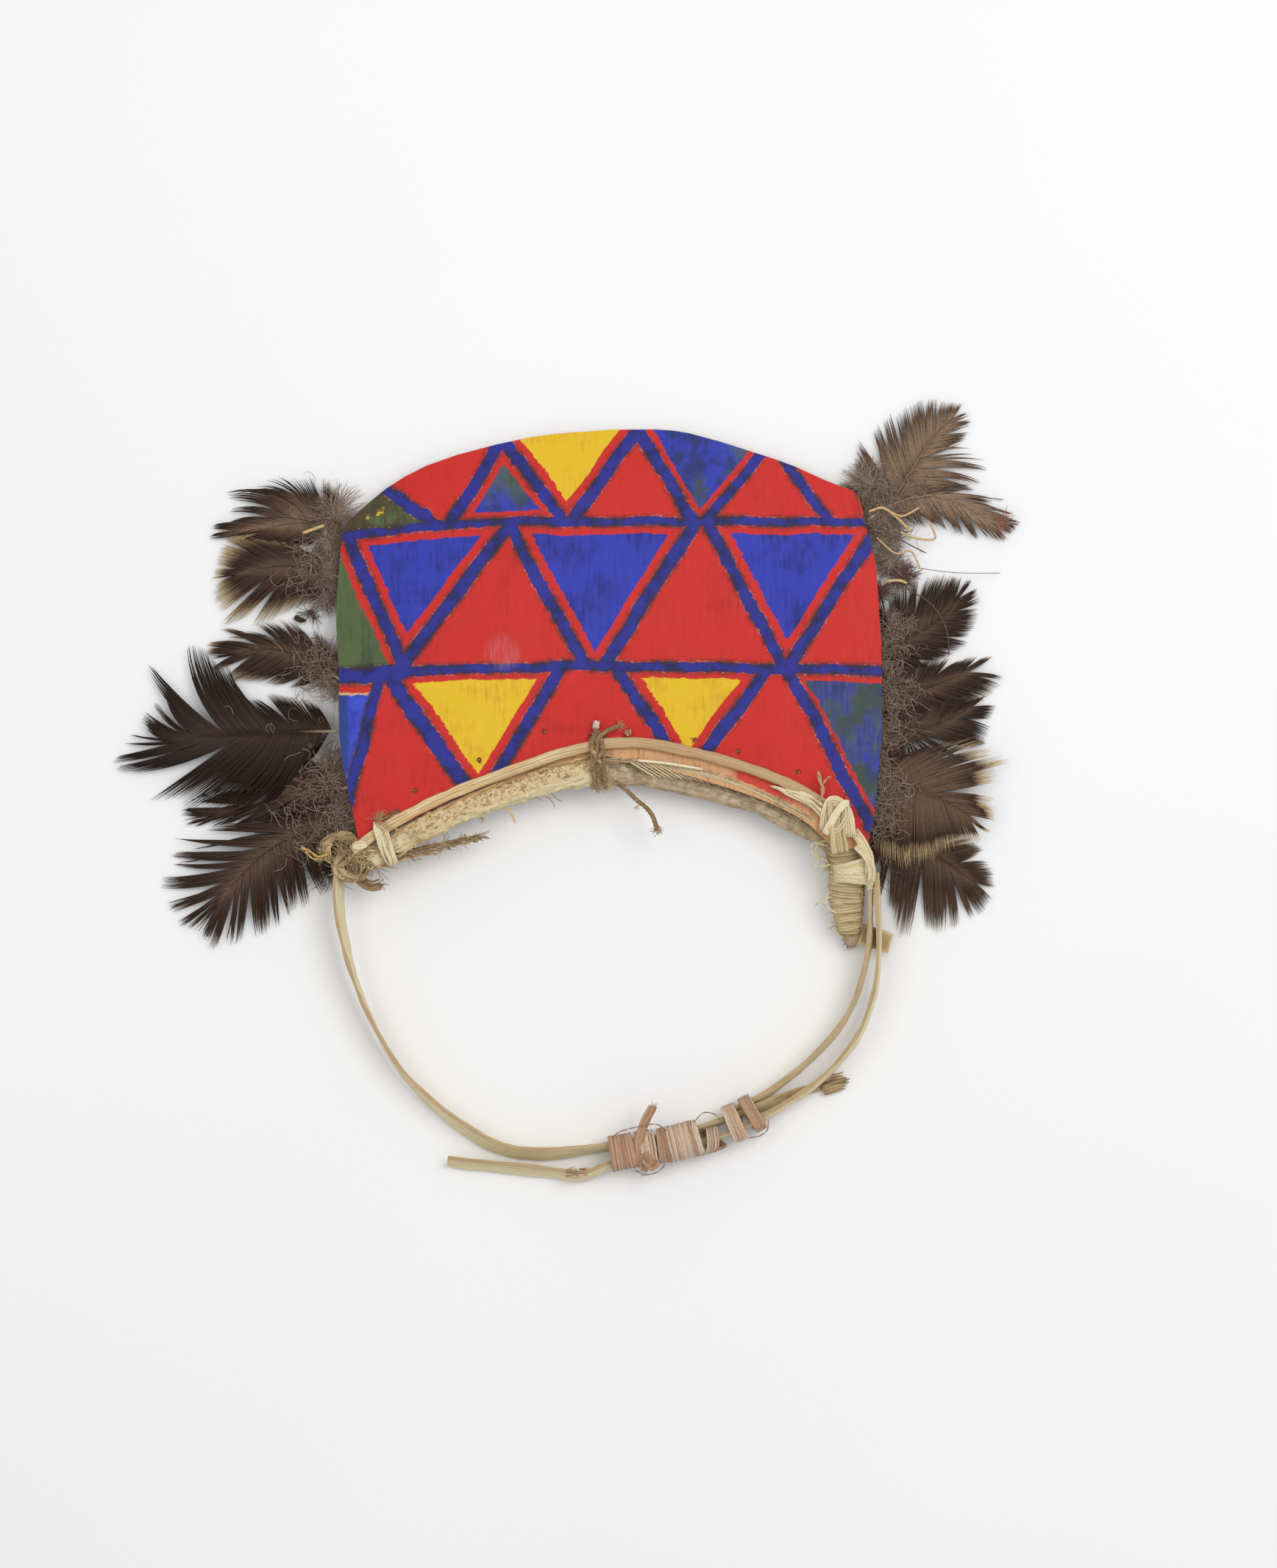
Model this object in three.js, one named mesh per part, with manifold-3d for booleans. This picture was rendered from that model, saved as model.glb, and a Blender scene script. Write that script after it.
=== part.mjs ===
// A ceremonial headdress: a painted wooden brow board, a split-cane head hoop, fibre lashings
// and feathers along the sides of the board. It lies on the back of its hoop and on the crown
// edge of its board. Millimetres, +Z up, +X to the wearer's board right, +Y towards the crown.
import * as THREE from 'three';
import { mergeVertices } from 'three/addons/utils/BufferGeometryUtils.js';
import Module from 'manifold-3d';

const wasm = await Module();
wasm.setup();

// Board
const BOARD_WIDTH = 205.6;
const BOARD_RISE = 117.7;
const BOARD_THICKNESS = 3.2;
const BOARD_SLOPE = THREE.MathUtils.degToRad(5.6);
const TIP_DROP = 47;
const PEG_HOLE_RADIUS = 1;
const PLUG_LENGTH = 6;

// Brow band: the strip on the face, the bare margin under it and the roll at the edge
const STRIP_WIDTH = 4.1;
const STRIP_DEPTH = 2.6;
const MARGIN_LEFT = 4.2;
const MARGIN_RIGHT = 11.3;
const ROLL_DROP = 77.3;
const ROLL_WIDTH = 9.2;
const ROLL_DEPTH = 7.2;

// Hoop of split cane
const HOOP_WIDTH = 207.7;
const HOOP_DEPTH = 164.8;
const HOOP_LIFT = 7.2;
const HOOP_CENTRE = HOOP_DEPTH * 0.364;
const CANE_HEIGHT = 8.5;
const CANE_THICKNESS = 1.9;

// Lashings
const LASHING_WIDTH = 12.6;
const LASHING_HEIGHT = 11.6;
const LASHING_TURNS = 9;
const LASHING_SWELL = 0.45;
const STRING_THICKNESS = 1.8;
const TIE_WIDTH = 5.6;
const STRAP_WIDTH = 6.8;
const KNOT_SIZE = 19;
const WRAP_WIDTH = 12.5;
const TAIL_THICKNESS = 1.9;
const TAB_WIDTH = 8;
const TAB_LENGTH = 12.2;

// Feathers
const FEATHER_LENGTH = 80;
const FEATHER_THICKNESS = 1;
const QUILL_THICKNESS = 2;
const QUILL_TUCK = 10;
const LAYER_STEP = 1.7;

// Clearance between pieces that touch
const GAP = 0.3;

// The brow line, which is the upper edge of the strip: across in board widths from the middle,
// down in tip drops, and margin from the left margin at 0 to the right one at 1.
const BROW = [
  { across: -0.474, down: 0.866, margin: 0 },
  { across: -0.399, down: 0.642, margin: 0 },
  { across: -0.300, down: 0.420, margin: 0 },
  { across: -0.182, down: 0.218, margin: 0 },
  { across: -0.060, down: 0.045, margin: 0.1 },
  { across: 0.043, down: -0.012, margin: 0.62 },
  { across: 0.140, down: 0.055, margin: 0.93 },
  { across: 0.240, down: 0.172, margin: 1 },
  { across: 0.330, down: 0.322, margin: 1 },
  { across: 0.400, down: 0.500, margin: 1 },
  { across: 0.455, down: 0.745, margin: 1 },
];

// The row of BROW where the strip on the face runs out.
const STRIP_END = 9.05;

// The board's edges: across in board widths, up in board rises from the brow.
const LEFT_EDGE = [
  { across: -0.458, up: -0.315 },
  { across: -0.478, up: -0.146 },
  { across: -0.493, up: 0.000 },
  { across: -0.494, up: 0.214 },
  { across: -0.500, up: 0.393 },
  { across: -0.494, up: 0.574 },
  { across: -0.490, up: 0.671 },
];
const CROWN_EDGE = [
  { across: -0.468, up: 0.718 },
  { across: -0.399, up: 0.820 },
  { across: -0.310, up: 0.899 },
  { across: -0.165, up: 0.967 },
  { across: -0.055, up: 0.992 },
  { across: 0.0485, up: 1.000 },
  { across: 0.124, up: 0.994 },
  { across: 0.186, up: 0.969 },
  { across: 0.255, up: 0.931 },
  { across: 0.330, up: 0.887 },
  { across: 0.392, up: 0.838 },
  { across: 0.447, up: 0.800 },
];
const RIGHT_EDGE = [
  { across: 0.461, up: 0.767 },
  { across: 0.470, up: 0.694 },
  { across: 0.488, up: 0.574 },
  { across: 0.496, up: 0.393 },
  { across: 0.500, up: 0.214 },
  { across: 0.499, up: 0.033 },
  { across: 0.492, up: -0.122 },
  { across: 0.484, up: -0.240 },
  { across: 0.474, up: -0.334 },
];

// Peg holes along the brow, with the plugged one first.
const PEG_HOLES = [
  { across: 0.034, up: 0.0235 },
  { across: -0.354, up: -0.167 },
  { across: -0.237, up: -0.068 },
  { across: -0.119, up: 0.0235 },
  { across: 0.158, up: -0.004 },
  { across: 0.236, up: -0.040 },
  { across: 0.346, up: -0.106 },
];

// The roll along the brow: at in rows of BROW, near and far edges in roll widths from the brow
// line, top and bottom in roll depths from the board's back.
const ROLL_ALONG_BROW = [
  { at: 0.25, near: 0.51, far: 1.44, top: 0.58, bottom: -0.30 },
  { at: 1.00, near: 0.50, far: 1.46, top: 0.66, bottom: -0.34 },
  { at: 2.00, near: 0.50, far: 1.48, top: 0.66, bottom: -0.34 },
  { at: 3.00, near: 0.50, far: 1.52, top: 0.66, bottom: -0.36 },
  { at: 4.00, near: 0.60, far: 1.76, top: 0.62, bottom: -0.44 },
  { at: 4.60, near: 0.80, far: 1.90, top: 0.40, bottom: -0.60 },
  { at: 5.20, near: 1.10, far: 1.94, top: 0.10, bottom: -0.82 },
  { at: 6.00, near: 1.06, far: 1.92, top: -0.05, bottom: -1.00 },
  { at: 7.00, near: 1.02, far: 1.86, top: -0.05, bottom: -1.02 },
  { at: 8.00, near: 1.04, far: 1.84, top: -0.05, bottom: -1.02 },
];

// The roll past the brow: across in board widths, down in roll drops from the brow, sink in roll
// drops below the board's back, girth in roll widths.
const ROLL_TAIL = [
  { across: 0.3706, down: 0.430, sink: 0.054, girth: 0.84 },
  { across: 0.4070, down: 0.502, sink: 0.068, girth: 0.92 },
  { across: 0.4270, down: 0.598, sink: 0.092, girth: 0.96 },
  { across: 0.4330, down: 0.724, sink: 0.125, girth: 1.02 },
  { across: 0.4390, down: 0.850, sink: 0.155, girth: 1.06 },
  { across: 0.4430, down: 0.950, sink: 0.176, girth: 0.72 },
  { across: 0.4450, down: 1.000, sink: 0.185, girth: 0.20 },
];

// The hoop's strips: across in hoop widths, down in hoop depths from the brow, lift in hoop lifts,
// lean in degrees with the foot outwards, height and thick in the cane's own sizes.
const LEFT_STRIP = [
  { across: -0.484, down: 0.268, lift: 1.00, lean: -22, height: 1, thick: 1 },
  { across: -0.491, down: 0.334, lift: 0.96, lean: -22, height: 1, thick: 1 },
  { across: -0.4885, down: 0.402, lift: 0.88, lean: -18, height: 1, thick: 1 },
  { across: -0.4753, down: 0.482, lift: 0.76, lean: -12, height: 1, thick: 1 },
  { across: -0.4573, down: 0.560, lift: 0.60, lean: -6, height: 1, thick: 1 },
  { across: -0.4360, down: 0.627, lift: 0.46, lean: 0, height: 1, thick: 1 },
  { across: -0.4093, down: 0.694, lift: 0.32, lean: 6, height: 1, thick: 1 },
  { across: -0.3807, down: 0.753, lift: 0.20, lean: 12, height: 1, thick: 1 },
  { across: -0.3453, down: 0.802, lift: 0.12, lean: 18, height: 1, thick: 1 },
  { across: -0.3027, down: 0.852, lift: 0.06, lean: 24, height: 1, thick: 1 },
  { across: -0.2520, down: 0.897, lift: 0.02, lean: 29, height: 1, thick: 1 },
  { across: -0.1980, down: 0.934, lift: 0.00, lean: 31, height: 1, thick: 1 },
  { across: -0.1400, down: 0.946, lift: 0.00, lean: 31, height: 1, thick: 1 },
  { across: -0.0853, down: 0.944, lift: 0.04, lean: 28, height: 1, thick: 1 },
  { across: -0.0307, down: 0.9345, lift: 0.12, lean: 22, height: 1, thick: 1 },
  { across: 0.0400, down: 0.921, lift: 0.21, lean: 16, height: 1, thick: 1 },
  { across: 0.1400, down: 0.897, lift: 0.21, lean: 14, height: 1, thick: 1 },
  { across: 0.2200, down: 0.863, lift: 0.21, lean: 14, height: 1, thick: 1 },
  { across: 0.2900, down: 0.831, lift: 0.16, lean: 30, height: 0.80, thick: 0.85 },
  { across: 0.3450, down: 0.806, lift: 0.04, lean: 70, height: 0.52, thick: 0.65 },
  { across: 0.4293, down: 0.776, lift: 0.00, lean: 78, height: 0.40, thick: 0.60 },
];
const OUTER_STRIP = [
  { across: 0.4853, down: 0.300, lift: 1.00, lean: 5, height: 1, thick: 1 },
  { across: 0.4865, down: 0.352, lift: 0.98, lean: 6, height: 1, thick: 1 },
  { across: 0.4893, down: 0.420, lift: 0.94, lean: 7, height: 1, thick: 1 },
  { across: 0.4893, down: 0.496, lift: 0.88, lean: 8, height: 1, thick: 1 },
  { across: 0.4853, down: 0.554, lift: 0.80, lean: 9, height: 1, thick: 1 },
  { across: 0.4733, down: 0.612, lift: 0.72, lean: 10, height: 1, thick: 1 },
  { across: 0.4547, down: 0.671, lift: 0.64, lean: 11, height: 1, thick: 1 },
  { across: 0.4267, down: 0.720, lift: 0.56, lean: 12, height: 1, thick: 1 },
  { across: 0.3933, down: 0.766, lift: 0.50, lean: 12, height: 1, thick: 1 },
  { across: 0.3560, down: 0.803, lift: 0.42, lean: 13, height: 1, thick: 1 },
  { across: 0.3213, down: 0.832, lift: 0.30, lean: 13, height: 1, thick: 1 },
  { across: 0.2880, down: 0.857, lift: 0.22, lean: 14, height: 1, thick: 1 },
  { across: 0.2347, down: 0.889, lift: 0.21, lean: 14, height: 1, thick: 1 },
  { across: 0.1787, down: 0.916, lift: 0.21, lean: 14, height: 1, thick: 1 },
  { across: 0.1027, down: 0.942, lift: 0.21, lean: 14, height: 1, thick: 1 },
  { across: 0.0040, down: 0.969, lift: 0.20, lean: 18, height: 1, thick: 1 },
  { across: -0.0467, down: 0.999, lift: 0.08, lean: 26, height: 0.92, thick: 1 },
  { across: -0.0960, down: 0.990, lift: 0.02, lean: 32, height: 0.88, thick: 1 },
  { across: -0.1667, down: 0.980, lift: 0.00, lean: 33, height: 0.86, thick: 1 },
  { across: -0.2480, down: 0.970, lift: 0.00, lean: 33, height: 0.84, thick: 1 },
  { across: -0.2947, down: 0.963, lift: 0.00, lean: 33, height: 0.80, thick: 1 },
];
const INNER_STRIP = [
  { across: 0.4740, down: 0.300, lift: 1.00, lean: 5, height: 1, thick: 1 },
  { across: 0.4741, down: 0.352, lift: 0.98, lean: 6, height: 1, thick: 1 },
  { across: 0.4741, down: 0.400, lift: 0.94, lean: 7, height: 1, thick: 1 },
  { across: 0.4727, down: 0.458, lift: 0.88, lean: 8, height: 1, thick: 1 },
  { across: 0.4613, down: 0.535, lift: 0.76, lean: 9, height: 1, thick: 1 },
  { across: 0.4467, down: 0.593, lift: 0.66, lean: 10, height: 1, thick: 1 },
  { across: 0.4253, down: 0.643, lift: 0.58, lean: 11, height: 1, thick: 1 },
  { across: 0.3947, down: 0.692, lift: 0.50, lean: 12, height: 1, thick: 1 },
  { across: 0.3573, down: 0.739, lift: 0.42, lean: 12, height: 1, thick: 1 },
  { across: 0.3147, down: 0.782, lift: 0.30, lean: 13, height: 1, thick: 1 },
  { across: 0.2813, down: 0.812, lift: 0.22, lean: 14, height: 1, thick: 1 },
  { across: 0.2300, down: 0.842, lift: 0.21, lean: 14, height: 0.95, thick: 1 },
];

// The back lashing's middle line: across in hoop widths, down in hoop depths, girth in widths.
const LASHING_LINE = [
  { across: -0.0015, down: 0.946, girth: 1.00 },
  { across: 0.0520, down: 0.934, girth: 1.02 },
  { across: 0.1027, down: 0.924, girth: 1.00 },
  { across: 0.1400, down: 0.913, girth: 1.00 },
  { across: 0.1787, down: 0.899, girth: 1.03 },
  { across: 0.2347, down: 0.869, girth: 1.10 },
  { across: 0.2747, down: 0.841, girth: 1.14 },
  { across: 0.2880, down: 0.832, girth: 1.14 },
];

// The right lashing's middle line: across in board widths, down in roll drops, level in roll
// drops below the board's back, wide in wrap widths and deep in wrap widths.
const WRAP_LINE = [
  { across: 0.4130, down: 0.300, level: -0.020, wide: 0.62, deep: 0.75 },
  { across: 0.4130, down: 0.370, level: 0.012, wide: 0.84, deep: 1.15 },
  { across: 0.4150, down: 0.450, level: 0.030, wide: 0.94, deep: 1.42 },
  { across: 0.4270, down: 0.540, level: 0.045, wide: 1.15, deep: 1.60 },
  { across: 0.4400, down: 0.630, level: 0.068, wide: 1.36, deep: 1.55 },
  { across: 0.4420, down: 0.700, level: 0.090, wide: 1.32, deep: 1.35 },
  { across: 0.4360, down: 0.770, level: 0.118, wide: 1.16, deep: 1.15 },
  { across: 0.4340, down: 0.800, level: 0.132, wide: 1.02, deep: 1.02 },
];

// Feathers: up in board rises along the side edge, heading and bend in degrees, length and the
// two vanes in feather lengths, with the vanes named as seen along the shaft towards its tip.
const FEATHERS = [
  { side: 'left', up: 0.635, heading: 151, bend: 58, length: 0.64, port: 0.10, starboard: 0.27, layer: 1.2 },
  { side: 'left', up: 0.532, heading: 166, bend: 34, length: 0.61, port: 0.21, starboard: 0.13, layer: 0 },
  { side: 'left', up: 0.214, heading: 149, bend: 42, length: 0.60, port: 0.09, starboard: 0.15, layer: 0 },
  { side: 'left', up: 0.031, heading: 181, bend: 4, length: 1.00, port: 0.26, starboard: 0.32, layer: 1 },
  { side: 'left', up: -0.150, heading: 195, bend: -10, length: 0.88, port: 0.12, starboard: 0.12, layer: 0 },
  { side: 'left', up: -0.257, heading: 191, bend: 33, length: 0.92, port: 0.29, starboard: 0.20, layer: 2 },
  { side: 'right', up: 0.725, heading: 54, bend: -12, length: 0.65, port: 0.22, starboard: 0.22, layer: 0 },
  { side: 'right', up: 0.654, heading: 46, bend: -80, length: 0.74, port: 0.12, starboard: 0.16, layer: 1 },
  { side: 'right', up: 0.290, heading: 25, bend: 20, length: 0.55, port: 0.20, starboard: 0.17, layer: 0 },
  { side: 'right', up: 0.155, heading: 0, bend: 20, length: 0.55, port: 0.10, starboard: 0.09, layer: 1 },
  { side: 'right', up: 0.012, heading: 8, bend: 8, length: 0.57, port: 0.10, starboard: 0.10, layer: 0 },
  { side: 'right', up: -0.137, heading: 0, bend: -46, length: 0.58, port: 0.20, starboard: 0.27, layer: 1 },
  { side: 'right', up: -0.217, heading: -38, bend: -10, length: 0.66, port: 0.09, starboard: 0.28, layer: 0 },
];

const COLOURS = {
  wood: { color: 0xb8402f, roughness: 0.6, metalness: 0 },
  cane: { color: 0xd6c392, roughness: 0.45, metalness: 0 },
  pith: { color: 0xc5aa81, roughness: 0.9, metalness: 0 },
  bark: { color: 0xbcaa93, roughness: 0.8, metalness: 0 },
  fibre: { color: 0xccba8b, roughness: 0.85, metalness: 0 },
  twine: { color: 0x7d6446, roughness: 0.9, metalness: 0 },
  feather: { color: 0x2c2019, roughness: 0.7, metalness: 0 },
};

function solidOf(geometry) {
  const bare = geometry.clone();
  bare.deleteAttribute('normal');
  bare.deleteAttribute('uv');
  const merged = mergeVertices(bare, 1e-4);
  return new wasm.Manifold(new wasm.Mesh({
    numProp: 3,
    vertProperties: merged.attributes.position.array,
    triVerts: merged.index.array,
  }));
}

function geometryOf(solid) {
  const { vertProperties, triVerts } = solid.getMesh();
  const geometry = new THREE.BufferGeometry();
  geometry.setAttribute('position', new THREE.BufferAttribute(vertProperties, 3));
  geometry.setIndex(new THREE.BufferAttribute(triVerts, 1));
  return geometry;
}

// Cuts a piece back from its neighbours and keeps its largest body.
function cutBack(geometry, neighbours) {
  let solid = solidOf(geometry);
  for (const neighbour of neighbours) {
    solid = solid.subtract(solidOf(neighbour));
  }
  const bodies = solid.decompose();
  bodies.sort((one, other) => other.volume() - one.volume());
  return geometryOf(bodies[0]);
}

function joined(geometries) {
  let solid = solidOf(geometries[0]);
  for (const geometry of geometries.slice(1)) {
    solid = solid.add(solidOf(geometry));
  }
  return geometryOf(solid);
}

// A closed skin through rings of equally many points, with a flat fan over each end.
function loft(rings) {
  const count = rings[0].length;
  const points = rings.flat();
  const faces = [];
  for (let ring = 0; ring < rings.length - 1; ring += 1) {
    for (let side = 0; side < count; side += 1) {
      const next = (side + 1) % count;
      const low = ring * count;
      const high = low + count;
      faces.push(low + side, low + next, high + next, low + side, high + next, high + side);
    }
  }
  for (const [ring, turn] of [[0, false], [rings.length - 1, true]]) {
    const middle = new THREE.Vector3();
    rings[ring].forEach((point) => middle.add(point));
    points.push(middle.divideScalar(count));
    for (let side = 0; side < count; side += 1) {
      const ends = [ring * count + side, ring * count + ((side + 1) % count)];
      faces.push(points.length - 1, ...(turn ? ends : ends.reverse()));
    }
  }
  const geometry = new THREE.BufferGeometry().setFromPoints(points);
  geometry.setIndex(volumeOf(points, faces) < 0 ? faces.reverse() : faces);
  return geometry;
}

function volumeOf(points, faces) {
  let volume = 0;
  for (let face = 0; face < faces.length; face += 3) {
    const [a, b, c] = [points[faces[face]], points[faces[face + 1]], points[faces[face + 2]]];
    volume += a.dot(b.clone().cross(c)) / 6;
  }
  return volume;
}

// One value between the rows of a table, on a smooth curve through the column.
function between(table, column, at) {
  const last = table.length - 1;
  const row = Math.min(Math.floor(at), last - 1);
  const part = at - row;
  const value = (index) => table[THREE.MathUtils.clamp(index, 0, last)][column];
  const [before, start, end, after] = [value(row - 1), value(row), value(row + 1), value(row + 2)];
  const rise = (end - before) / 2;
  const fall = (after - start) / 2;
  const square = part * part;
  const cube = square * part;
  return start * (2 * cube - 3 * square + 1) + rise * (cube - 2 * square + part)
    + end * (3 * square - 2 * cube) + fall * (cube - square);
}

// All columns of a table at evenly spaced rows.
function rowsOf(table, stepsPerRow) {
  const total = (table.length - 1) * stepsPerRow;
  const columns = Object.keys(table[0]);
  return Array.from({ length: total + 1 }, (_, step) => {
    const at = step / stepsPerRow;
    return Object.fromEntries(columns.map((column) => [column, between(table, column, at)]));
  });
}

// The outward side of a level path at one of its points, to the right of its run.
function sideOf(points, index) {
  const back = points[Math.max(index - 1, 0)];
  const ahead = points[Math.min(index + 1, points.length - 1)];
  const run = ahead.clone().sub(back).setZ(0).normalize();
  return new THREE.Vector3(run.y, -run.x, 0);
}

// Places on the brow line and off it, towards the head.
function browPoint(at, offset = 0) {
  const place = (row) => new THREE.Vector3(
    between(BROW, 'across', row) * BOARD_WIDTH,
    -between(BROW, 'down', row) * TIP_DROP,
    0,
  );
  const step = 0.01;
  const last = BROW.length - 1;
  const run = place(Math.min(at + step, last)).sub(place(Math.max(at - step, 0))).normalize();
  return place(at).add(new THREE.Vector3(run.y, -run.x, 0).multiplyScalar(offset));
}

function browRun(at) {
  return browPoint(at + 0.02).sub(browPoint(at - 0.02)).normalize();
}

function boardMargin(at) {
  return THREE.MathUtils.lerp(MARGIN_LEFT, MARGIN_RIGHT, between(BROW, 'margin', at));
}

function boardBack(y) {
  return (BOARD_RISE - y) * Math.tan(BOARD_SLOPE);
}

// The board, grown all round by an allowance when it cuts a neighbour.
function boardGeometry(grow = 0) {
  const edgePoint = ({ across, up }) => new THREE.Vector2(
    across * BOARD_WIDTH + Math.sign(across) * grow,
    up * BOARD_RISE,
  );
  const brow = [];
  for (let at = BROW.length - 1; at >= 0; at -= 0.5) {
    const point = browPoint(at, boardMargin(at) + grow);
    brow.push(new THREE.Vector2(point.x, point.y));
  }
  brow[0].x += grow;
  brow[brow.length - 1].x -= 2 * grow;
  brow[brow.length - 1].y -= grow;
  const outline = new THREE.Shape();
  outline.moveTo(...edgePoint(LEFT_EDGE[0]).toArray());
  outline.splineThru(LEFT_EDGE.slice(1).map(edgePoint));
  outline.splineThru(CROWN_EDGE.map(edgePoint));
  outline.splineThru(RIGHT_EDGE.map(edgePoint));
  brow.forEach((point) => outline.lineTo(point.x, point.y));
  outline.closePath();
  const geometry = new THREE.ExtrudeGeometry(outline, {
    depth: BOARD_THICKNESS + 2 * grow,
    bevelEnabled: false,
    curveSegments: 2,
  });
  return geometry.translate(0, 0, -grow);
}

// A round peg, which also drills a peg hole through the board.
function pegGeometry({ across, up }, radius, length) {
  const peg = new THREE.CylinderGeometry(radius, radius, length, 8);
  peg.rotateX(Math.PI / 2);
  return peg.translate(across * BOARD_WIDTH, up * BOARD_RISE, BOARD_THICKNESS / 2);
}

// A tie's frame round the brow band: near and far in millimetres from the brow line, bottom and
// top from the board's back, wall as its thickness, run along the brow for its width.
function tieGeometry({ at, near, far, bottom, top, wall, width }) {
  const frame = new THREE.Shape();
  const corner = wall * 1.2;
  const box = (shape, left, right, low, high, round) => {
    shape.moveTo(left + round, low);
    shape.lineTo(right - round, low);
    shape.quadraticCurveTo(right, low, right, low + round);
    shape.lineTo(right, high - round);
    shape.quadraticCurveTo(right, high, right - round, high);
    shape.lineTo(left + round, high);
    shape.quadraticCurveTo(left, high, left, high - round);
    shape.lineTo(left, low + round);
    shape.quadraticCurveTo(left, low, left + round, low);
  };
  box(frame, near - wall, far + wall, bottom - wall, top + wall, corner);
  const inside = new THREE.Path();
  box(inside, near, far, bottom, top, corner * 0.2);
  frame.holes.push(inside);
  const geometry = new THREE.ExtrudeGeometry(frame, {
    depth: width,
    bevelEnabled: false,
    curveSegments: 3,
  });
  const run = browRun(at);
  const outward = new THREE.Vector3(run.y, -run.x, 0);
  const axes = new THREE.Matrix4().makeBasis(outward, new THREE.Vector3(0, 0, 1), run.negate());
  geometry.translate(0, 0, -width / 2);
  geometry.applyMatrix4(axes);
  const centre = browPoint(at);
  return geometry.translate(centre.x, centre.y, 0);
}

// The slot in the board where a tie passes through it.
function tieSlot({ at, near, wall, width }) {
  const slot = new THREE.BoxGeometry(wall + 2 * GAP, width + 2 * GAP, 4 * BOARD_THICKNESS);
  const run = browRun(at);
  slot.rotateZ(Math.atan2(run.y, run.x) - Math.PI / 2);
  const centre = browPoint(at, near - wall / 2);
  return slot.translate(centre.x, centre.y, BOARD_THICKNESS / 2);
}

// The strip of cane over the board's face, with rounded top corners.
function frontStripGeometry(grow = 0) {
  const rings = [];
  const end = STRIP_END;
  const steps = 44;
  for (let step = 0; step <= steps; step += 1) {
    const at = (step / steps) * end;
    const taper = THREE.MathUtils.smoothstep(end - at, -0.6, 1.1);
    const width = STRIP_WIDTH * (0.35 + 0.65 * taper);
    const foot = BOARD_THICKNESS + GAP - grow;
    const head = BOARD_THICKNESS + GAP + STRIP_DEPTH * (0.5 + 0.5 * taper) + grow;
    const place = (offset, level) => browPoint(at, offset).setZ(level);
    const round = STRIP_WIDTH * 0.18;
    rings.push([
      place(-grow, foot),
      place(width + grow, foot),
      place(width + grow, head - round),
      place(width + grow - round, head),
      place(round - grow, head),
      place(-grow, head - round),
    ]);
  }
  return loft(rings);
}

// The roll: a flat pithy cane along the left of the brow, a wrapped roll along its right, and a
// tapered tail that turns down beside the hoop.
function rollGeometry(grow = 0) {
  const sides = 10;
  const ring = (centre, side, wide, deep) => Array.from({ length: sides }, (_, index) => {
    const angle = (index / sides) * 2 * Math.PI;
    const square = (value) => Math.sign(value) * Math.abs(value) ** 0.75;
    return centre.clone()
      .addScaledVector(side, square(Math.cos(angle)) * (wide + grow))
      .add(new THREE.Vector3(0, 0, square(Math.sin(angle)) * (deep + grow)));
  });
  const rings = rowsOf(ROLL_ALONG_BROW, 3).map(({ at, near, far, top, bottom }) => {
    const run = browRun(at);
    const centre = browPoint(at, ((near + far) / 2) * ROLL_WIDTH);
    centre.z = ((top + bottom) / 2) * ROLL_DEPTH;
    const side = new THREE.Vector3(run.y, -run.x, 0);
    return ring(centre, side, ((far - near) / 2) * ROLL_WIDTH, ((top - bottom) / 2) * ROLL_DEPTH);
  });
  const tail = rowsOf(ROLL_TAIL, 3);
  const line = tail.map(({ across, down, sink }) => new THREE.Vector3(
    across * BOARD_WIDTH,
    -down * ROLL_DROP,
    -sink * ROLL_DROP,
  ));
  tail.slice(1).forEach(({ girth }, index) => {
    const side = sideOf(line, index + 1);
    rings.push(ring(line[index + 1], side, (girth * ROLL_WIDTH) / 2, (girth * ROLL_DEPTH) / 2));
  });
  return loft(rings);
}

// One strip of the hoop, standing on its edge with its lean.
function stripGeometry(table, grow = 0) {
  const rows = rowsOf(table, 2);
  const points = rows.map(({ across, down }) => new THREE.Vector3(
    across * HOOP_WIDTH,
    -down * HOOP_DEPTH,
    0,
  ));
  const rings = rows.map(({ lift, lean, height, thick }, index) => {
    const outward = sideOf(points, index);
    outward.multiplyScalar(Math.sign(outward.dot(points[index].clone().setY(points[index].y + HOOP_CENTRE))));
    const angle = THREE.MathUtils.degToRad(lean);
    const tall = height * CANE_HEIGHT;
    const wide = thick * CANE_THICKNESS;
    const up = outward.clone().multiplyScalar(-Math.sin(angle)).setZ(Math.cos(angle));
    const face = outward.clone().multiplyScalar(Math.cos(angle)).setZ(Math.sin(angle));
    const centre = points[index].clone();
    centre.z = Math.max(lift, 0) * HOOP_LIFT
      + (tall * Math.cos(angle) + wide * Math.abs(Math.sin(angle))) / 2;
    const corner = (along, across) => centre.clone()
      .addScaledVector(up, along * (tall / 2 + grow))
      .addScaledVector(face, across * (wide / 2 + grow));
    return [corner(-1, -1), corner(-1, 0.7), corner(-0.45, 1), corner(0.45, 1), corner(1, 0.7), corner(1, -1)];
  });
  return loft(rings);
}

// A ring of a lashing: a rounded box about a centre.
function lashingRing(centre, side, wide, deep, sides) {
  return Array.from({ length: sides }, (_, index) => {
    const angle = (index / sides) * 2 * Math.PI;
    const square = (value) => Math.sign(value) * Math.abs(value) ** 0.6;
    return centre.clone()
      .addScaledVector(side, square(Math.cos(angle)) * wide)
      .add(new THREE.Vector3(0, 0, square(Math.sin(angle)) * deep));
  });
}

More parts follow.
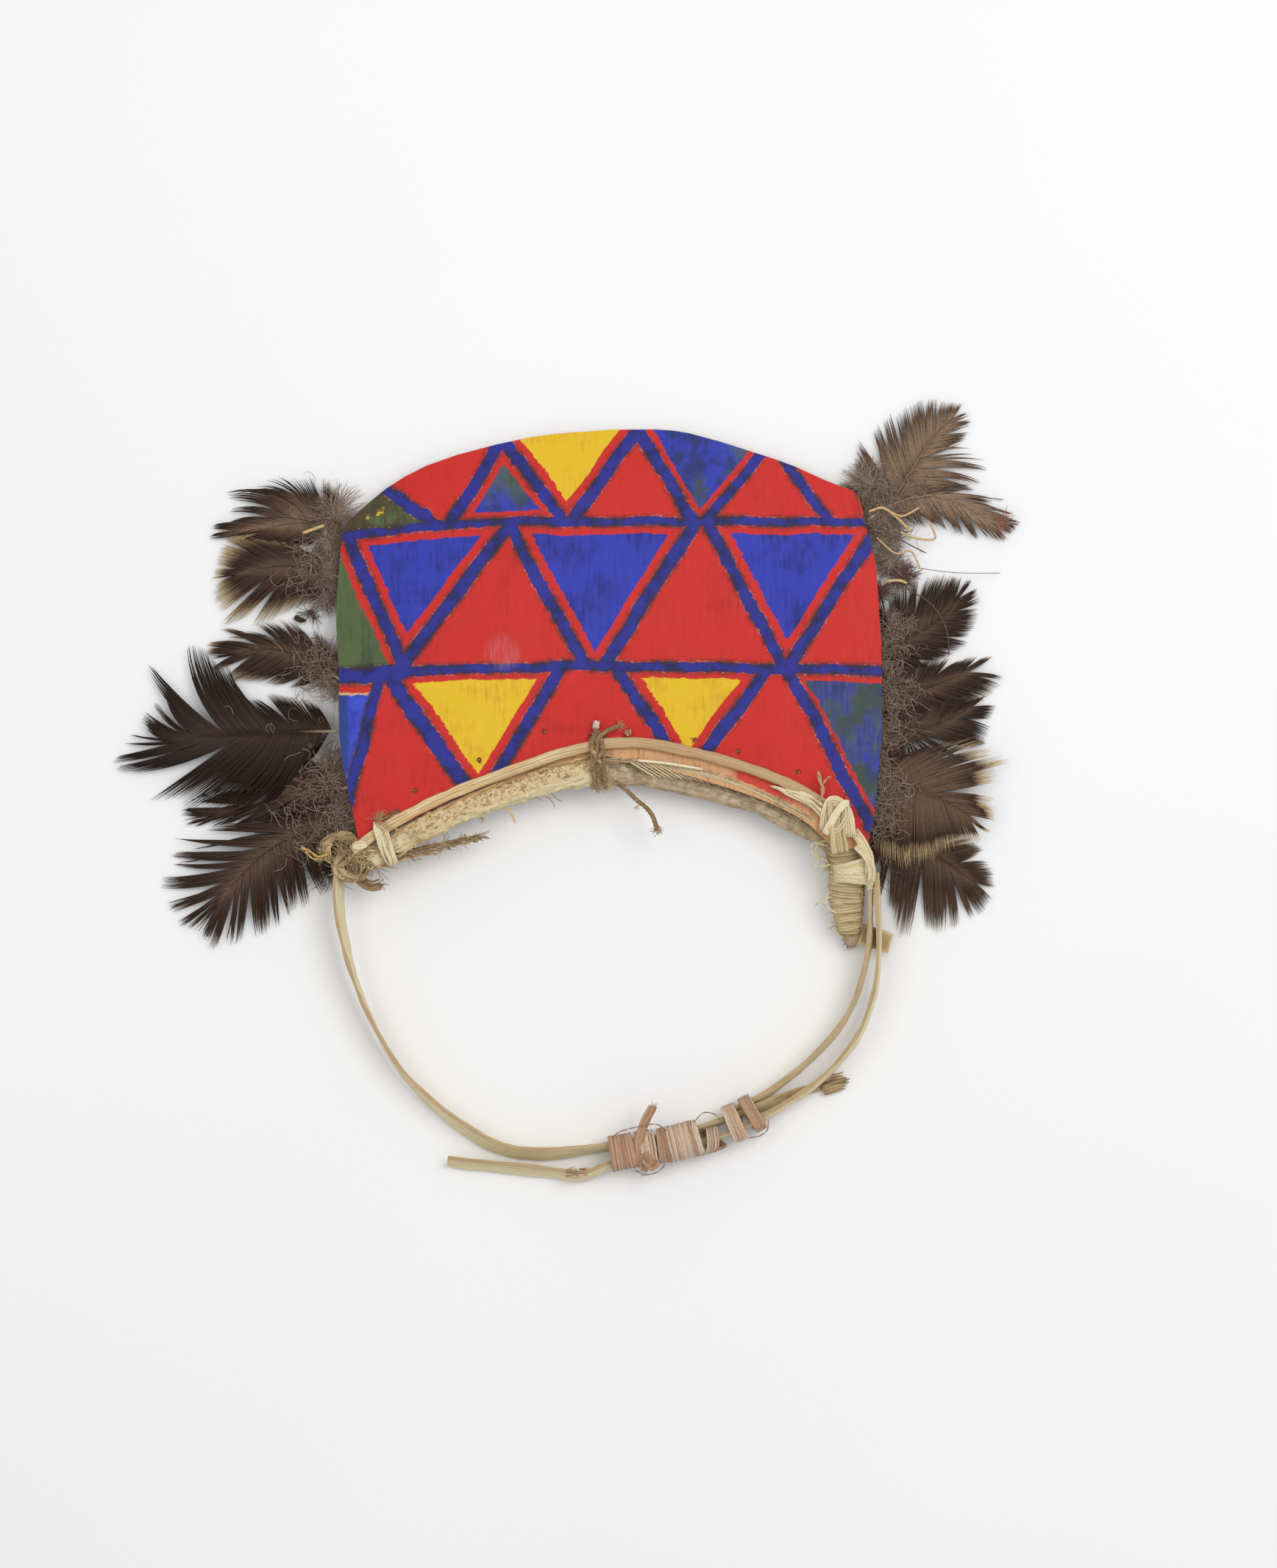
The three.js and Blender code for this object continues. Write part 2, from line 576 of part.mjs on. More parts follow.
// The bark lashing round the three lapped strips, swelling at each turn.
function backLashingGeometry() {
  const perTurn = 3;
  const steps = LASHING_TURNS * perTurn;
  const last = LASHING_LINE.length - 1;
  const rows = Array.from({ length: steps + 1 }, (_, step) => (step / steps) * last);
  const line = rows.map((at) => new THREE.Vector3(
    between(LASHING_LINE, 'across', at) * HOOP_WIDTH,
    -between(LASHING_LINE, 'down', at) * HOOP_DEPTH,
    LASHING_HEIGHT / 2,
  ));
  const rings = rows.map((at, index) => {
    const swell = LASHING_SWELL * (0.5 - 0.5 * Math.cos((index / perTurn) * 2 * Math.PI));
    const wide = (between(LASHING_LINE, 'girth', at) * LASHING_WIDTH) / 2 - LASHING_SWELL + swell;
    const deep = LASHING_HEIGHT / 2 - LASHING_SWELL + swell;
    return lashingRing(line[index], sideOf(line, index), wide, deep, 12);
  });
  return loft(rings);
}

// The right lashing, from its lobe on the board's face to its crossing turns round the hoop.
function rightLashingGeometry() {
  const rows = rowsOf(WRAP_LINE, 3);
  const line = rows.map(({ across, down, level }) => new THREE.Vector3(
    across * BOARD_WIDTH,
    -down * ROLL_DROP,
    -level * ROLL_DROP,
  ));
  const rings = rows.map(({ wide, deep }, index) => {
    const swell = LASHING_SWELL * (index % 2);
    const reach = (wide * WRAP_WIDTH) / 2 + swell;
    const height = (deep * WRAP_WIDTH) / 2 + swell;
    return lashingRing(line[index], sideOf(line, index), reach, height, 12);
  });
  return loft(rings);
}

// A round cord through hand-chosen places.
function cordGeometry(points, thickness) {
  const section = new THREE.Shape();
  section.absarc(0, 0, thickness / 2, 0, 2 * Math.PI);
  const path = new THREE.CatmullRomCurve3(points);
  return new THREE.ExtrudeGeometry(section, {
    steps: points.length * 3,
    extrudePath: path,
    curveSegments: 4,
    bevelEnabled: false,
  });
}

// The left knot: two lumps, a flat stub, a yellow tail and a long tail under the brow.
function leftKnotGeometry() {
  const heart = browPoint(0, KNOT_SIZE * 0.36);
  const lump = (dx, dy, dz, size, squash) => {
    const ball = new THREE.IcosahedronGeometry(KNOT_SIZE * size, 2);
    ball.scale(1, 1, squash);
    return ball.translate(heart.x + dx * KNOT_SIZE, heart.y + dy * KNOT_SIZE, dz * KNOT_SIZE);
  };
  const place = (dx, dy, dz) => new THREE.Vector3(
    heart.x + dx * KNOT_SIZE,
    heart.y + dy * KNOT_SIZE,
    dz * KNOT_SIZE,
  );
  const stub = new THREE.BoxGeometry(KNOT_SIZE * 0.5, KNOT_SIZE * 0.26, KNOT_SIZE * 0.12);
  stub.rotateZ(-0.35);
  stub.translate(heart.x + 0.56 * KNOT_SIZE, heart.y - 0.30 * KNOT_SIZE, -0.1 * KNOT_SIZE);
  const yellowTail = cordGeometry([
    place(-0.30, 0.22, 0.10),
    place(-0.55, 0.34, 0.06),
    place(-0.86, 0.50, 0.02),
  ], TAIL_THICKNESS * 0.7);
  const longTail = cordGeometry([
    place(0.30, -0.02, 0.04),
    browPoint(1.05, KNOT_SIZE * 0.92).setZ(0.02 * KNOT_SIZE),
    browPoint(1.75, KNOT_SIZE * 0.84).setZ(0.02 * KNOT_SIZE),
    browPoint(2.25, KNOT_SIZE * 0.98).setZ(0),
    browPoint(2.55, KNOT_SIZE * 1.16).setZ(0),
  ], TAIL_THICKNESS * 0.85);
  return joined([
    lump(-0.06, 0.02, 0.02, 0.46, 0.88),
    lump(0.16, -0.22, -0.02, 0.42, 0.80),
    stub,
    yellowTail,
    longTail,
  ]);
}

// The centre tie with its two knot ends and its frayed tail.
function centreTieGeometry(tie) {
  const knot = browPoint(tie.at - 0.02, tie.near - tie.wall / 2);
  const crest = tie.top + tie.wall;
  const from = (point, right, up) => point.clone().add(
    new THREE.Vector3(right * TAIL_THICKNESS, up * TAIL_THICKNESS, 0),
  );
  const whiteEnd = cordGeometry([
    knot.clone().setZ(crest - tie.wall / 2),
    from(knot, -0.16, 0.84).setZ(crest),
    from(knot, 0.10, 2.42).setZ(crest + 0.2 * TAIL_THICKNESS),
  ], TAIL_THICKNESS);
  const brownEnd = cordGeometry([
    knot.clone().setZ(crest - tie.wall / 2),
    from(knot, 1.79, 1.16).setZ(crest),
    from(knot, 4.95, 2.53).setZ(crest - 0.2 * TAIL_THICKNESS),
  ], TAIL_THICKNESS);
  const foot = browPoint(tie.at + 0.2, tie.far + tie.wall / 2);
  const tail = cordGeometry([
    browPoint(tie.at, tie.far + tie.wall / 2).setZ(-0.42 * ROLL_DEPTH),
    foot.clone().setZ(-0.45 * ROLL_DEPTH),
    from(foot, 3.42, -2.84).setZ(-0.61 * ROLL_DEPTH),
    from(foot, 7.16, -7.79).setZ(-0.69 * ROLL_DEPTH),
  ], TAIL_THICKNESS);
  return joined([tieGeometry(tie), whiteEnd, brownEnd, tail]);
}

// A feather: its quill lies under the board's back, its vanes come down to the surface.
function featherGeometry({ side, up, heading, bend, length, port, starboard, layer }) {
  const edge = side === 'left' ? LEFT_EDGE : RIGHT_EDGE;
  const edgeRow = edge.findIndex((row, index) => index > 0
    && (up - row.up) * (up - edge[index - 1].up) <= 0);
  const [low, high] = [edge[edgeRow - 1], edge[edgeRow]];
  const share = (up - low.up) / (high.up - low.up);
  const root = new THREE.Vector3(
    THREE.MathUtils.lerp(low.across, high.across, share) * BOARD_WIDTH,
    up * BOARD_RISE,
    0,
  );
  const reach = length * FEATHER_LENGTH;
  const start = THREE.MathUtils.degToRad(heading);
  const turn = THREE.MathUtils.degToRad(bend);
  const quillTop = (y) => boardBack(y) - GAP - QUILL_THICKNESS / 2;
  const rest = layer * LAYER_STEP + FEATHER_THICKNESS / 2;
  const rings = [];
  const ring = (centre, along, left, right, edgeHalf, shaftHalf) => {
    const across = new THREE.Vector3(-Math.sin(along), Math.cos(along), 0);
    const place = (offset, level) => centre.clone().addScaledVector(across, offset)
      .add(new THREE.Vector3(0, 0, level));
    rings.push([
      place(-right, -edgeHalf),
      place(0, -shaftHalf),
      place(left, -edgeHalf),
      place(left, edgeHalf),
      place(0, shaftHalf),
      place(-right, edgeHalf),
    ]);
  };
  const quill = QUILL_THICKNESS / 2;
  const under = new THREE.Vector3(Math.cos(start), Math.sin(start), 0);
  for (const back of [1, 0.5]) {
    const centre = root.clone().addScaledVector(under, -back * QUILL_TUCK);
    centre.z = quillTop(centre.y);
    ring(centre, start, quill, quill, quill * 0.4, quill);
  }
  const steps = 20;
  const centre = root.clone();
  for (let step = 0; step <= steps; step += 1) {
    const part = step / steps;
    const along = start + turn * part;
    const fall = (1 - part) ** (5 / (1 + 1.5 * layer));
    centre.z = Math.max(rest, rest + (quillTop(root.y) - rest) * fall);
    const spread = THREE.MathUtils.smoothstep(part, 0.04, 0.42);
    const tip = Math.sqrt(Math.max(1 - (Math.max(part - 0.72, 0) / 0.29) ** 2, 0.01));
    const notch = step % 2 === 0 ? 1 : 0.88;
    const half = FEATHER_THICKNESS / 2;
    const body = THREE.MathUtils.lerp(quill, half, Math.min(part * 4, 1));
    ring(
      centre,
      along,
      Math.max(port * FEATHER_LENGTH * spread * tip * notch, quill),
      Math.max(starboard * FEATHER_LENGTH * spread * tip * notch, quill),
      Math.min(half * 0.6, body),
      body,
    );
    centre.add(new THREE.Vector3(Math.cos(along), Math.sin(along), 0).multiplyScalar(reach / steps));
  }
  return loft(rings);
}

// The flat end of cane that pokes out under the hoop beside the roll's tip.
function tabGeometry() {
  const tab = new THREE.BoxGeometry(TAB_LENGTH, TAB_WIDTH, CANE_THICKNESS);
  tab.rotateZ(-0.32);
  const centre = { across: 0.4895, down: 0.964 };
  const level = HOOP_LIFT * 0.88 - GAP - CANE_THICKNESS / 2;
  return tab.translate(centre.across * BOARD_WIDTH, -centre.down * ROLL_DROP, level);
}

function piece(name, geometry, colour) {
  geometry.deleteAttribute('uv');
  const mesh = new THREE.Mesh(geometry, new THREE.MeshStandardMaterial(COLOURS[colour]));
  mesh.name = name;
  return mesh;
}

// Frames: the tilted frame has the board's back at level 0, the flat frame has the surface.
const tilted = new THREE.Group();
tilted.position.y = BOARD_RISE;
tilted.rotation.x = -BOARD_SLOPE;
const onBoard = new THREE.Group();
onBoard.position.y = -BOARD_RISE;
tilted.add(onBoard);
const flat = new THREE.Group();
const headdress = new THREE.Group();
headdress.name = 'headdress';
headdress.add(tilted, flat);
headdress.updateMatrixWorld(true);
const toBoard = onBoard.matrixWorld.clone().invert();
const seenFromBoard = (geometry) => geometry.applyMatrix4(toBoard);
const seenFromSurface = (geometry) => geometry.applyMatrix4(onBoard.matrixWorld);

const faceTop = BOARD_THICKNESS + GAP + STRIP_DEPTH + GAP;
const strap = {
  at: 1.05,
  near: -GAP,
  far: ROLL_WIDTH * 1.46 + GAP,
  bottom: -ROLL_DEPTH * 0.34 - GAP,
  top: faceTop,
  wall: STRING_THICKNESS * 0.8,
  width: STRAP_WIDTH,
};
const tie = {
  at: 4.37,
  near: -GAP,
  far: ROLL_WIDTH * 1.91 + GAP,
  bottom: -ROLL_DEPTH * 0.66 - GAP,
  top: faceTop,
  wall: STRING_THICKNESS,
  width: TIE_WIDTH,
};

const pegHoles = PEG_HOLES.map((row) => pegGeometry(row, PEG_HOLE_RADIUS, 4 * BOARD_THICKNESS));
const board = cutBack(boardGeometry(), [tieSlot(strap), tieSlot(tie), ...pegHoles]);
const roll = cutBack(rollGeometry(), [
  boardGeometry(GAP),
  seenFromBoard(stripGeometry(OUTER_STRIP, GAP)),
  seenFromBoard(stripGeometry(INNER_STRIP, GAP)),
]);
const plug = pegGeometry(PEG_HOLES[0], PEG_HOLE_RADIUS - GAP, PLUG_LENGTH);
plug.translate(0, 0, (PLUG_LENGTH - BOARD_THICKNESS) / 2);
const knot = cutBack(leftKnotGeometry(), [
  boardGeometry(GAP),
  frontStripGeometry(GAP),
  rollGeometry(GAP),
  seenFromBoard(stripGeometry(LEFT_STRIP, GAP)),
  tieGeometry({ ...strap, wall: strap.wall + GAP, width: strap.width + 2 * GAP }),
]);
const rightLashing = cutBack(rightLashingGeometry(), [
  boardGeometry(GAP),
  frontStripGeometry(GAP),
  rollGeometry(GAP),
  seenFromBoard(stripGeometry(OUTER_STRIP, GAP)),
  seenFromBoard(stripGeometry(INNER_STRIP, GAP)),
]);
onBoard.add(
  piece('painted_board', board, 'wood'),
  piece('front_strip', frontStripGeometry(), 'cane'),
  piece('brow_roll', roll, 'pith'),
  piece('fibre_plug', plug, 'twine'),
  piece('left_strap', tieGeometry(strap), 'fibre'),
  piece('centre_tie', centreTieGeometry(tie), 'twine'),
  piece('left_knot', knot, 'twine'),
  piece('right_lashing', rightLashing, 'fibre'),
);

const backLashing = cutBack(backLashingGeometry(), [
  stripGeometry(LEFT_STRIP, GAP),
  stripGeometry(OUTER_STRIP, GAP),
  stripGeometry(INNER_STRIP, GAP),
]);
flat.add(
  piece('hoop_left_strip', stripGeometry(LEFT_STRIP), 'cane'),
  piece('hoop_outer_strip', stripGeometry(OUTER_STRIP), 'cane'),
  piece('hoop_inner_strip', stripGeometry(INNER_STRIP), 'cane'),
  piece('back_lashing', backLashing, 'bark'),
  piece('cane_tab', cutBack(tabGeometry(), [seenFromSurface(rollGeometry(GAP))]), 'cane'),
);
const counts = { left: 0, right: 0 };
FEATHERS.forEach((row) => {
  counts[row.side] += 1;
  flat.add(piece(`feather_${row.side}_${counts[row.side]}`, featherGeometry(row), 'feather'));
});

// The origin is the middle of the underside of the whole piece.
headdress.updateMatrixWorld(true);
const bounds = new THREE.Box3().setFromObject(headdress, true);
const middle = bounds.getCenter(new THREE.Vector3());
headdress.position.set(-middle.x, -middle.y, -bounds.min.z);

export default headdress;
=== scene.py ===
# A ceremonial headdress lying on a pale table: a painted brow board with a band of cane and pith
# along its lower edge, a hoop of split cane, lashings of fibre and bark, and feathers.
import math
import random

import bpy
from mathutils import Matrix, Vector, noise


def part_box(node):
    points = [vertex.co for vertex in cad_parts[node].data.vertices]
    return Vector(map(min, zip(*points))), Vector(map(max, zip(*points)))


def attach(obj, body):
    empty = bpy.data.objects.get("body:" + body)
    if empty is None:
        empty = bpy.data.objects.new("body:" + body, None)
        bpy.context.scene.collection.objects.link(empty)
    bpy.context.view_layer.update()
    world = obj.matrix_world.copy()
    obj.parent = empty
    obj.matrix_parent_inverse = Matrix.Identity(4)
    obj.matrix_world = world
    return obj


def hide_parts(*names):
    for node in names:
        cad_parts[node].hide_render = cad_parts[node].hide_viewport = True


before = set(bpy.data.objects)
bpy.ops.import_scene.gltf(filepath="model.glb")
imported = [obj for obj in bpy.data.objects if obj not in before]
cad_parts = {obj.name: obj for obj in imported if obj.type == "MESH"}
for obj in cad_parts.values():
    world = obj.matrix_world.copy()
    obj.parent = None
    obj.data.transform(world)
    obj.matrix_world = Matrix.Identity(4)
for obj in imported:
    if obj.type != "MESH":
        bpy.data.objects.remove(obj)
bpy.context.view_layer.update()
bpy.ops.object.select_all(action="DESELECT")


# The view. A camera looks straight down on the table, as for a museum's record. Two wide soft
# lamps and a white sky leave only faint shadows beside the pieces.
MM = 0.001
BUD_X, BUD_Y = 6.99, 3.61
bud_low, bud_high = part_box("fibre_plug")
BROW_X = (bud_low[0] + bud_high[0]) / 2 - BUD_X * MM
BROW_Y = (bud_low[1] + bud_high[1]) / 2 - BUD_Y * MM
VIEW_HEIGHT = 2.0
PICTURE_HEIGHT = 0.5906
PICTURE_LEVEL = 0.01
PICTURE_MIDDLE = (11.1, -16.1)
SENSOR = 24.0
CLIP_END = 20
SKY_STRENGTH = 0.60


def spot(x, y, height):
    """A place in millimetres from the middle of the brow line, with its height over the table."""
    return Vector((BROW_X + x * MM, BROW_Y + y * MM, height * MM))


camera_data = bpy.data.cameras.new("record_camera")
camera_data.sensor_fit = "VERTICAL"
camera_data.sensor_height = SENSOR
camera_data.lens = SENSOR * VIEW_HEIGHT / PICTURE_HEIGHT
camera_data.clip_end = CLIP_END
camera = bpy.data.objects.new("record_camera", camera_data)
camera.location = spot(*PICTURE_MIDDLE, 0) + Vector((0, 0, VIEW_HEIGHT + PICTURE_LEVEL))
bpy.context.collection.objects.link(camera)
bpy.context.scene.camera = camera

bpy.context.scene.view_settings.view_transform = "Standard"
sky = bpy.data.worlds.new("studio_sky")
sky.use_nodes = True
background = sky.node_tree.nodes["Background"]
background.inputs["Color"].default_value = (1, 1, 1, 1)
background.inputs["Strength"].default_value = SKY_STRENGTH
bpy.context.scene.world = sky

for lamp_name, lamp_place, lamp_size, lamp_power in (
    ("soft_box_right", (0.75, 0.55, 1.5), 1.1, 13.5),
    ("soft_box_left", (-0.9, 0.2, 1.7), 1.2, 6),
):
    lamp_data = bpy.data.lights.new(lamp_name, "AREA")
    lamp_data.size = lamp_size
    lamp_data.energy = lamp_power
    lamp = bpy.data.objects.new(lamp_name, lamp_data)
    lamp.location = lamp_place
    lamp.rotation_euler = (-Vector(lamp_place)).to_track_quat("-Z", "Y").to_euler()
    bpy.context.collection.objects.link(lamp)


# The painted board. The real one is a thin plank of light wood cut to an arch, with a pale grain,
# painted by hand with rows of triangles in red, blue, yellow and green between two blue bands.
class Pigment:
    """A value or colour in a material, on which Python's operators add Math nodes."""

    def __init__(self, tree, socket):
        self.tree = tree
        self.socket = socket

    def node(self, kind, settings, sockets, out=0):
        added = self.tree.nodes.new(kind)
        for name, value in settings.items():
            if name == "stops":
                ramp = added.color_ramp
                while len(ramp.elements) < len(value):
                    ramp.elements.new(0.5)
                for element, (place, colour) in zip(ramp.elements, value):
                    element.position = place
                    element.color = colour
            else:
                setattr(added, name, value)
        for key, value in sockets.items():
            if isinstance(value, Pigment):
                self.tree.links.new(value.socket, added.inputs[key])
            else:
                added.inputs[key].default_value = value
        return Pigment(self.tree, added.outputs[out])

    def reckon(self, operation, *others):
        sockets = dict(enumerate((self, *others)))
        return self.node("ShaderNodeMath", {"operation": operation}, sockets)

    def __add__(self, other):
        return self.reckon("ADD", other)

    __radd__ = __add__

    def __sub__(self, other):
        return self.reckon("SUBTRACT", other)

    def __rsub__(self, other):
        return self * -1 + other

    def __mul__(self, other):
        return self.reckon("MULTIPLY", other)

    __rmul__ = __mul__

    def __pow__(self, other):
        return self.reckon("POWER", other)

    def __neg__(self):
        return self * -1

    def __abs__(self):
        return self.reckon("ABSOLUTE")

    def least(self, other):
        return self.reckon("MINIMUM", other)

    def most(self, other):
        return self.reckon("MAXIMUM", other)

    def rise(self, start, end):
        """0 where the value is under start, 1 where it is over end, and a soft step between."""
        settings = {"interpolation_type": "SMOOTHSTEP"}
        return self.node("ShaderNodeMapRange", settings, {0: self, 1: start, 2: end, 3: 0.0, 4: 1.0})

    def between(self, low, high):
        """The low colour where this value is 0, the high one where it is 1, and a mix between."""
        return self.node("ShaderNodeMix", {"data_type": "RGBA"}, {0: self, 6: low, 7: high}, out=2)

    def coated(self, colour, cover):
        """This colour with another one over it, as far as cover goes from 0 to 1."""
        return cover.between(self, colour)

    def kept(self, name, out):
        """What the piece's own attribute of this name holds."""
        return self.node("ShaderNodeAttribute", {"attribute_name": name}, {}, out=out)

    def axis(self, name):
        return self.node("ShaderNodeSeparateXYZ", {}, {0: self}, out="XYZ".index(name))

    def stretched(self, x, y, z):
        sockets = {"Vector": self, "Scale": (x, y, z)}
        return self.node("ShaderNodeMapping", {}, sockets)

    def cloud(self, per_metre, detail=2.0, rough=0.5):
        """Noise from 0 to 1, with so many lumps to the metre."""
        sockets = {"Vector": self, "Scale": per_metre, "Detail": detail, "Roughness": rough}
        return self.node("ShaderNodeTexNoise", {}, sockets)

    def bumped(self, depth, strength=1.0):
        """The normal of a surface whose height is this value times a depth in metres."""
        sockets = {"Height": self, "Distance": depth, "Strength": strength}
        return self.node("ShaderNodeBump", {}, sockets)

    def feeds(self, shader, name):
        self.tree.links.new(self.socket, shader.inputs[name])


def tint(red, green, blue):
    """A colour of the photograph, 0 to 255, as the shader's own linear colour."""
    parts = [part / 255 for part in (red, green, blue)]
    linear = [p / 12.92 if p <= 0.04045 else ((p + 0.055) / 1.055) ** 2.4 for p in parts]
    return (*linear, 1.0)


def new_finish(name, constants):
    """A new material with these constants on its shader, and the place on the piece to paint by."""
    material = bpy.data.materials.new(name)
    material.use_nodes = True
    tree = material.node_tree
    shader = tree.nodes["Principled BSDF"]
    for socket, value in constants.items():
        shader.inputs[socket].default_value = value
    places = tree.nodes.new("ShaderNodeTexCoord")
    return material, shader, Pigment(tree, places.outputs["Object"])


def settle(piece, material, node):
    """Gives a finished piece its material, hangs it on the root body, and hides the imported part it takes
    the place of.
    """
    piece.data.materials.clear()
    piece.data.materials.append(material)
    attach(piece, "root")
    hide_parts(node)


def choose(piece):
    """Makes this piece the only one that is selected, and the active one."""
    bpy.ops.object.select_all(action="DESELECT")
    piece.select_set(True)
    bpy.context.view_layer.objects.active = piece


def edit(piece, operation, **settings):
    """Runs one mesh operation on every part of the piece's mesh."""
    choose(piece)
    bpy.ops.object.mode_set(mode="EDIT")
    bpy.ops.mesh.select_all(action="SELECT")
    operation(**settings)
    bpy.ops.object.mode_set(mode="OBJECT")


def copy_of(node, name):
    """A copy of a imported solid, with its loose triangles merged and no transform left."""
    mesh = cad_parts[node].data.copy()
    piece = bpy.data.objects.new(name, mesh)
    bpy.context.collection.objects.link(piece)
    piece.matrix_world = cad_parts[node].matrix_world
    edit(piece, bpy.ops.mesh.remove_doubles, threshold=MERGE_REACH)
    bpy.ops.object.transform_apply(location=True, rotation=True, scale=True)
    return piece


def modify(piece, kind, **settings):
    """Adds a modifier to the piece and applies it at once."""
    modifier = piece.modifiers.new(kind.title(), kind)
    for name, value in settings.items():
        setattr(modifier, name, value)
    choose(piece)
    bpy.ops.object.modifier_apply(modifier=modifier.name)


def rounded(piece, width, segments, angle):
    """Rounds the edges where two faces meet at more than this angle in degrees."""
    limit = math.radians(angle)
    modify(piece, "BEVEL", width=width, segments=segments, limit_method="ANGLE", angle_limit=limit)


MERGE_REACH = 0.00001
EDGE_ROUND = 0.0006
board = copy_of("painted_board", "brow_board")
edit(board, bpy.ops.mesh.dissolve_limited, angle_limit=math.radians(2))
rounded(board, EDGE_ROUND, 3, 50)
bpy.ops.object.shade_smooth_by_angle(angle=math.radians(40))

RED = tint(197, 37, 30)
RED_SHADE = tint(166, 32, 28)
BLUE = tint(44, 56, 168)
BLUE_SHADE = tint(28, 36, 112)
LINE_BLUE = tint(38, 42, 138)
LINE_SHADE = tint(24, 26, 80)
YELLOW = tint(222, 182, 30)
YELLOW_SHADE = tint(196, 138, 34)
GREEN = tint(80, 96, 58)
GREEN_SHADE = tint(62, 66, 50)
SOOT = tint(48, 36, 36)
BARE_WOOD = tint(208, 160, 114)
WOOD_SHADE = tint(176, 124, 82)
SIDE_WOOD = tint(150, 116, 82)

# Each row of triangles between two heights, with its blue lines as their place at the lower and
# the upper height and their width, and what fills the space left of the first and right of each.
CROWN_ROW = (82, 112, "green", [
    (-65.5, -109.0, 5.2, "red"),
    (-60.1, -41.6, 5.2, "mixed up"),
    (-15.8, -38.7, 5.2, "yellow"),
    (-14.5, 6.8, 5.2, "red"),
    (32.5, 14.2, 5.2, "murky"),
    (35.8, 59.9, 4.2, "red"),
    (84.2, 61.6, 4.6, "red"),
])
MIDDLE_ROW = (28, 82, "olive edge", [
    (-77.1, -100.9, 5.0, "blue"),
    (-78.1, -37.6, 5.4, "red"),
    (-9.1, -38.5, 5.2, "blue"),
    (-2.0, 32.2, 5.4, "red"),
    (65.7, 37.2, 5.0, "blue"),
    (67.6, 102.0, 5.2, "red"),
])
BROW_ROW = (-25, 25, "pale blue", [
    (-98.4, -85.9, 4.6, "red"),
    (-48.3, -82.8, 6.2, "yellow"),
    (-50.1, -19.4, 5.0, "red"),
    (36.4, 4.8, 5.0, "yellow"),
    (21.4, 57.6, 5.2, "red"),
    (94.3, 67.9, 5.0, "mottled"),
])
UPPER_BAND = 83.0
LOWER_BAND = 28.3
UPPER_BAND_HALF = 1.55
LOWER_BAND_HALF = 1.75
LINE_HALF = 0.43
BAR_HEIGHT = 20.3
BROW_PEAK = 8.8
BROW_TOP = 0.56
LEFT_POWER, LEFT_FALL = 1.6, 0.0239
RIGHT_POWER, RIGHT_FALL = 1.94, 0.00635

constants = {"Roughness": 0.55, "Specular IOR Level": 0.3}
painted, painted_shader, on_board = new_finish("hand_painted_wood", constants)
across = on_board.axis("X") * 1000 - BROW_X * 1000
upward = on_board.axis("Y") * 1000 - BROW_Y * 1000
sway = on_board.cloud(45, 2.0)
quiver = on_board.cloud(420, 3.0, 0.6)
patchy = on_board.cloud(160, 4.0, 0.65)
blotches = on_board.cloud(70, 4.0, 0.6)
worn = on_board.cloud(900, 3.0, 0.7)
grain = on_board.stretched(1, 0.06, 1).cloud(900, 4.0, 0.6)
across = across + (sway - 0.5) * 3.2 + (quiver - 0.5) * 2.6
upward = upward + (on_board.cloud(52, 2.0) - 0.5) * 2.8 + (quiver - 0.5) * 2.0

brush = (blotches - 0.5) * 1.5 + grain * 0.9 - 0.1
red_paint = brush.rise(0.3, 1.1).between(RED, RED_SHADE)
blue_paint = (brush + patchy * 0.5 - 0.25).rise(0.2, 0.85).between(BLUE, BLUE_SHADE)
yellow_paint = (brush * 0.8 + patchy * 0.4).rise(0.45, 0.95).between(YELLOW, YELLOW_SHADE)
green_paint = brush.rise(0.2, 0.9).between(GREEN, GREEN_SHADE)
line_paint = (patchy * 1.2 + blotches * 0.5).rise(0.75, 1.15).between(LINE_BLUE, LINE_SHADE)


def inside(near, far, inset):
    """How far a place is inside the red border of a space, from the two lines beside it."""
    return near.least(far) - inset


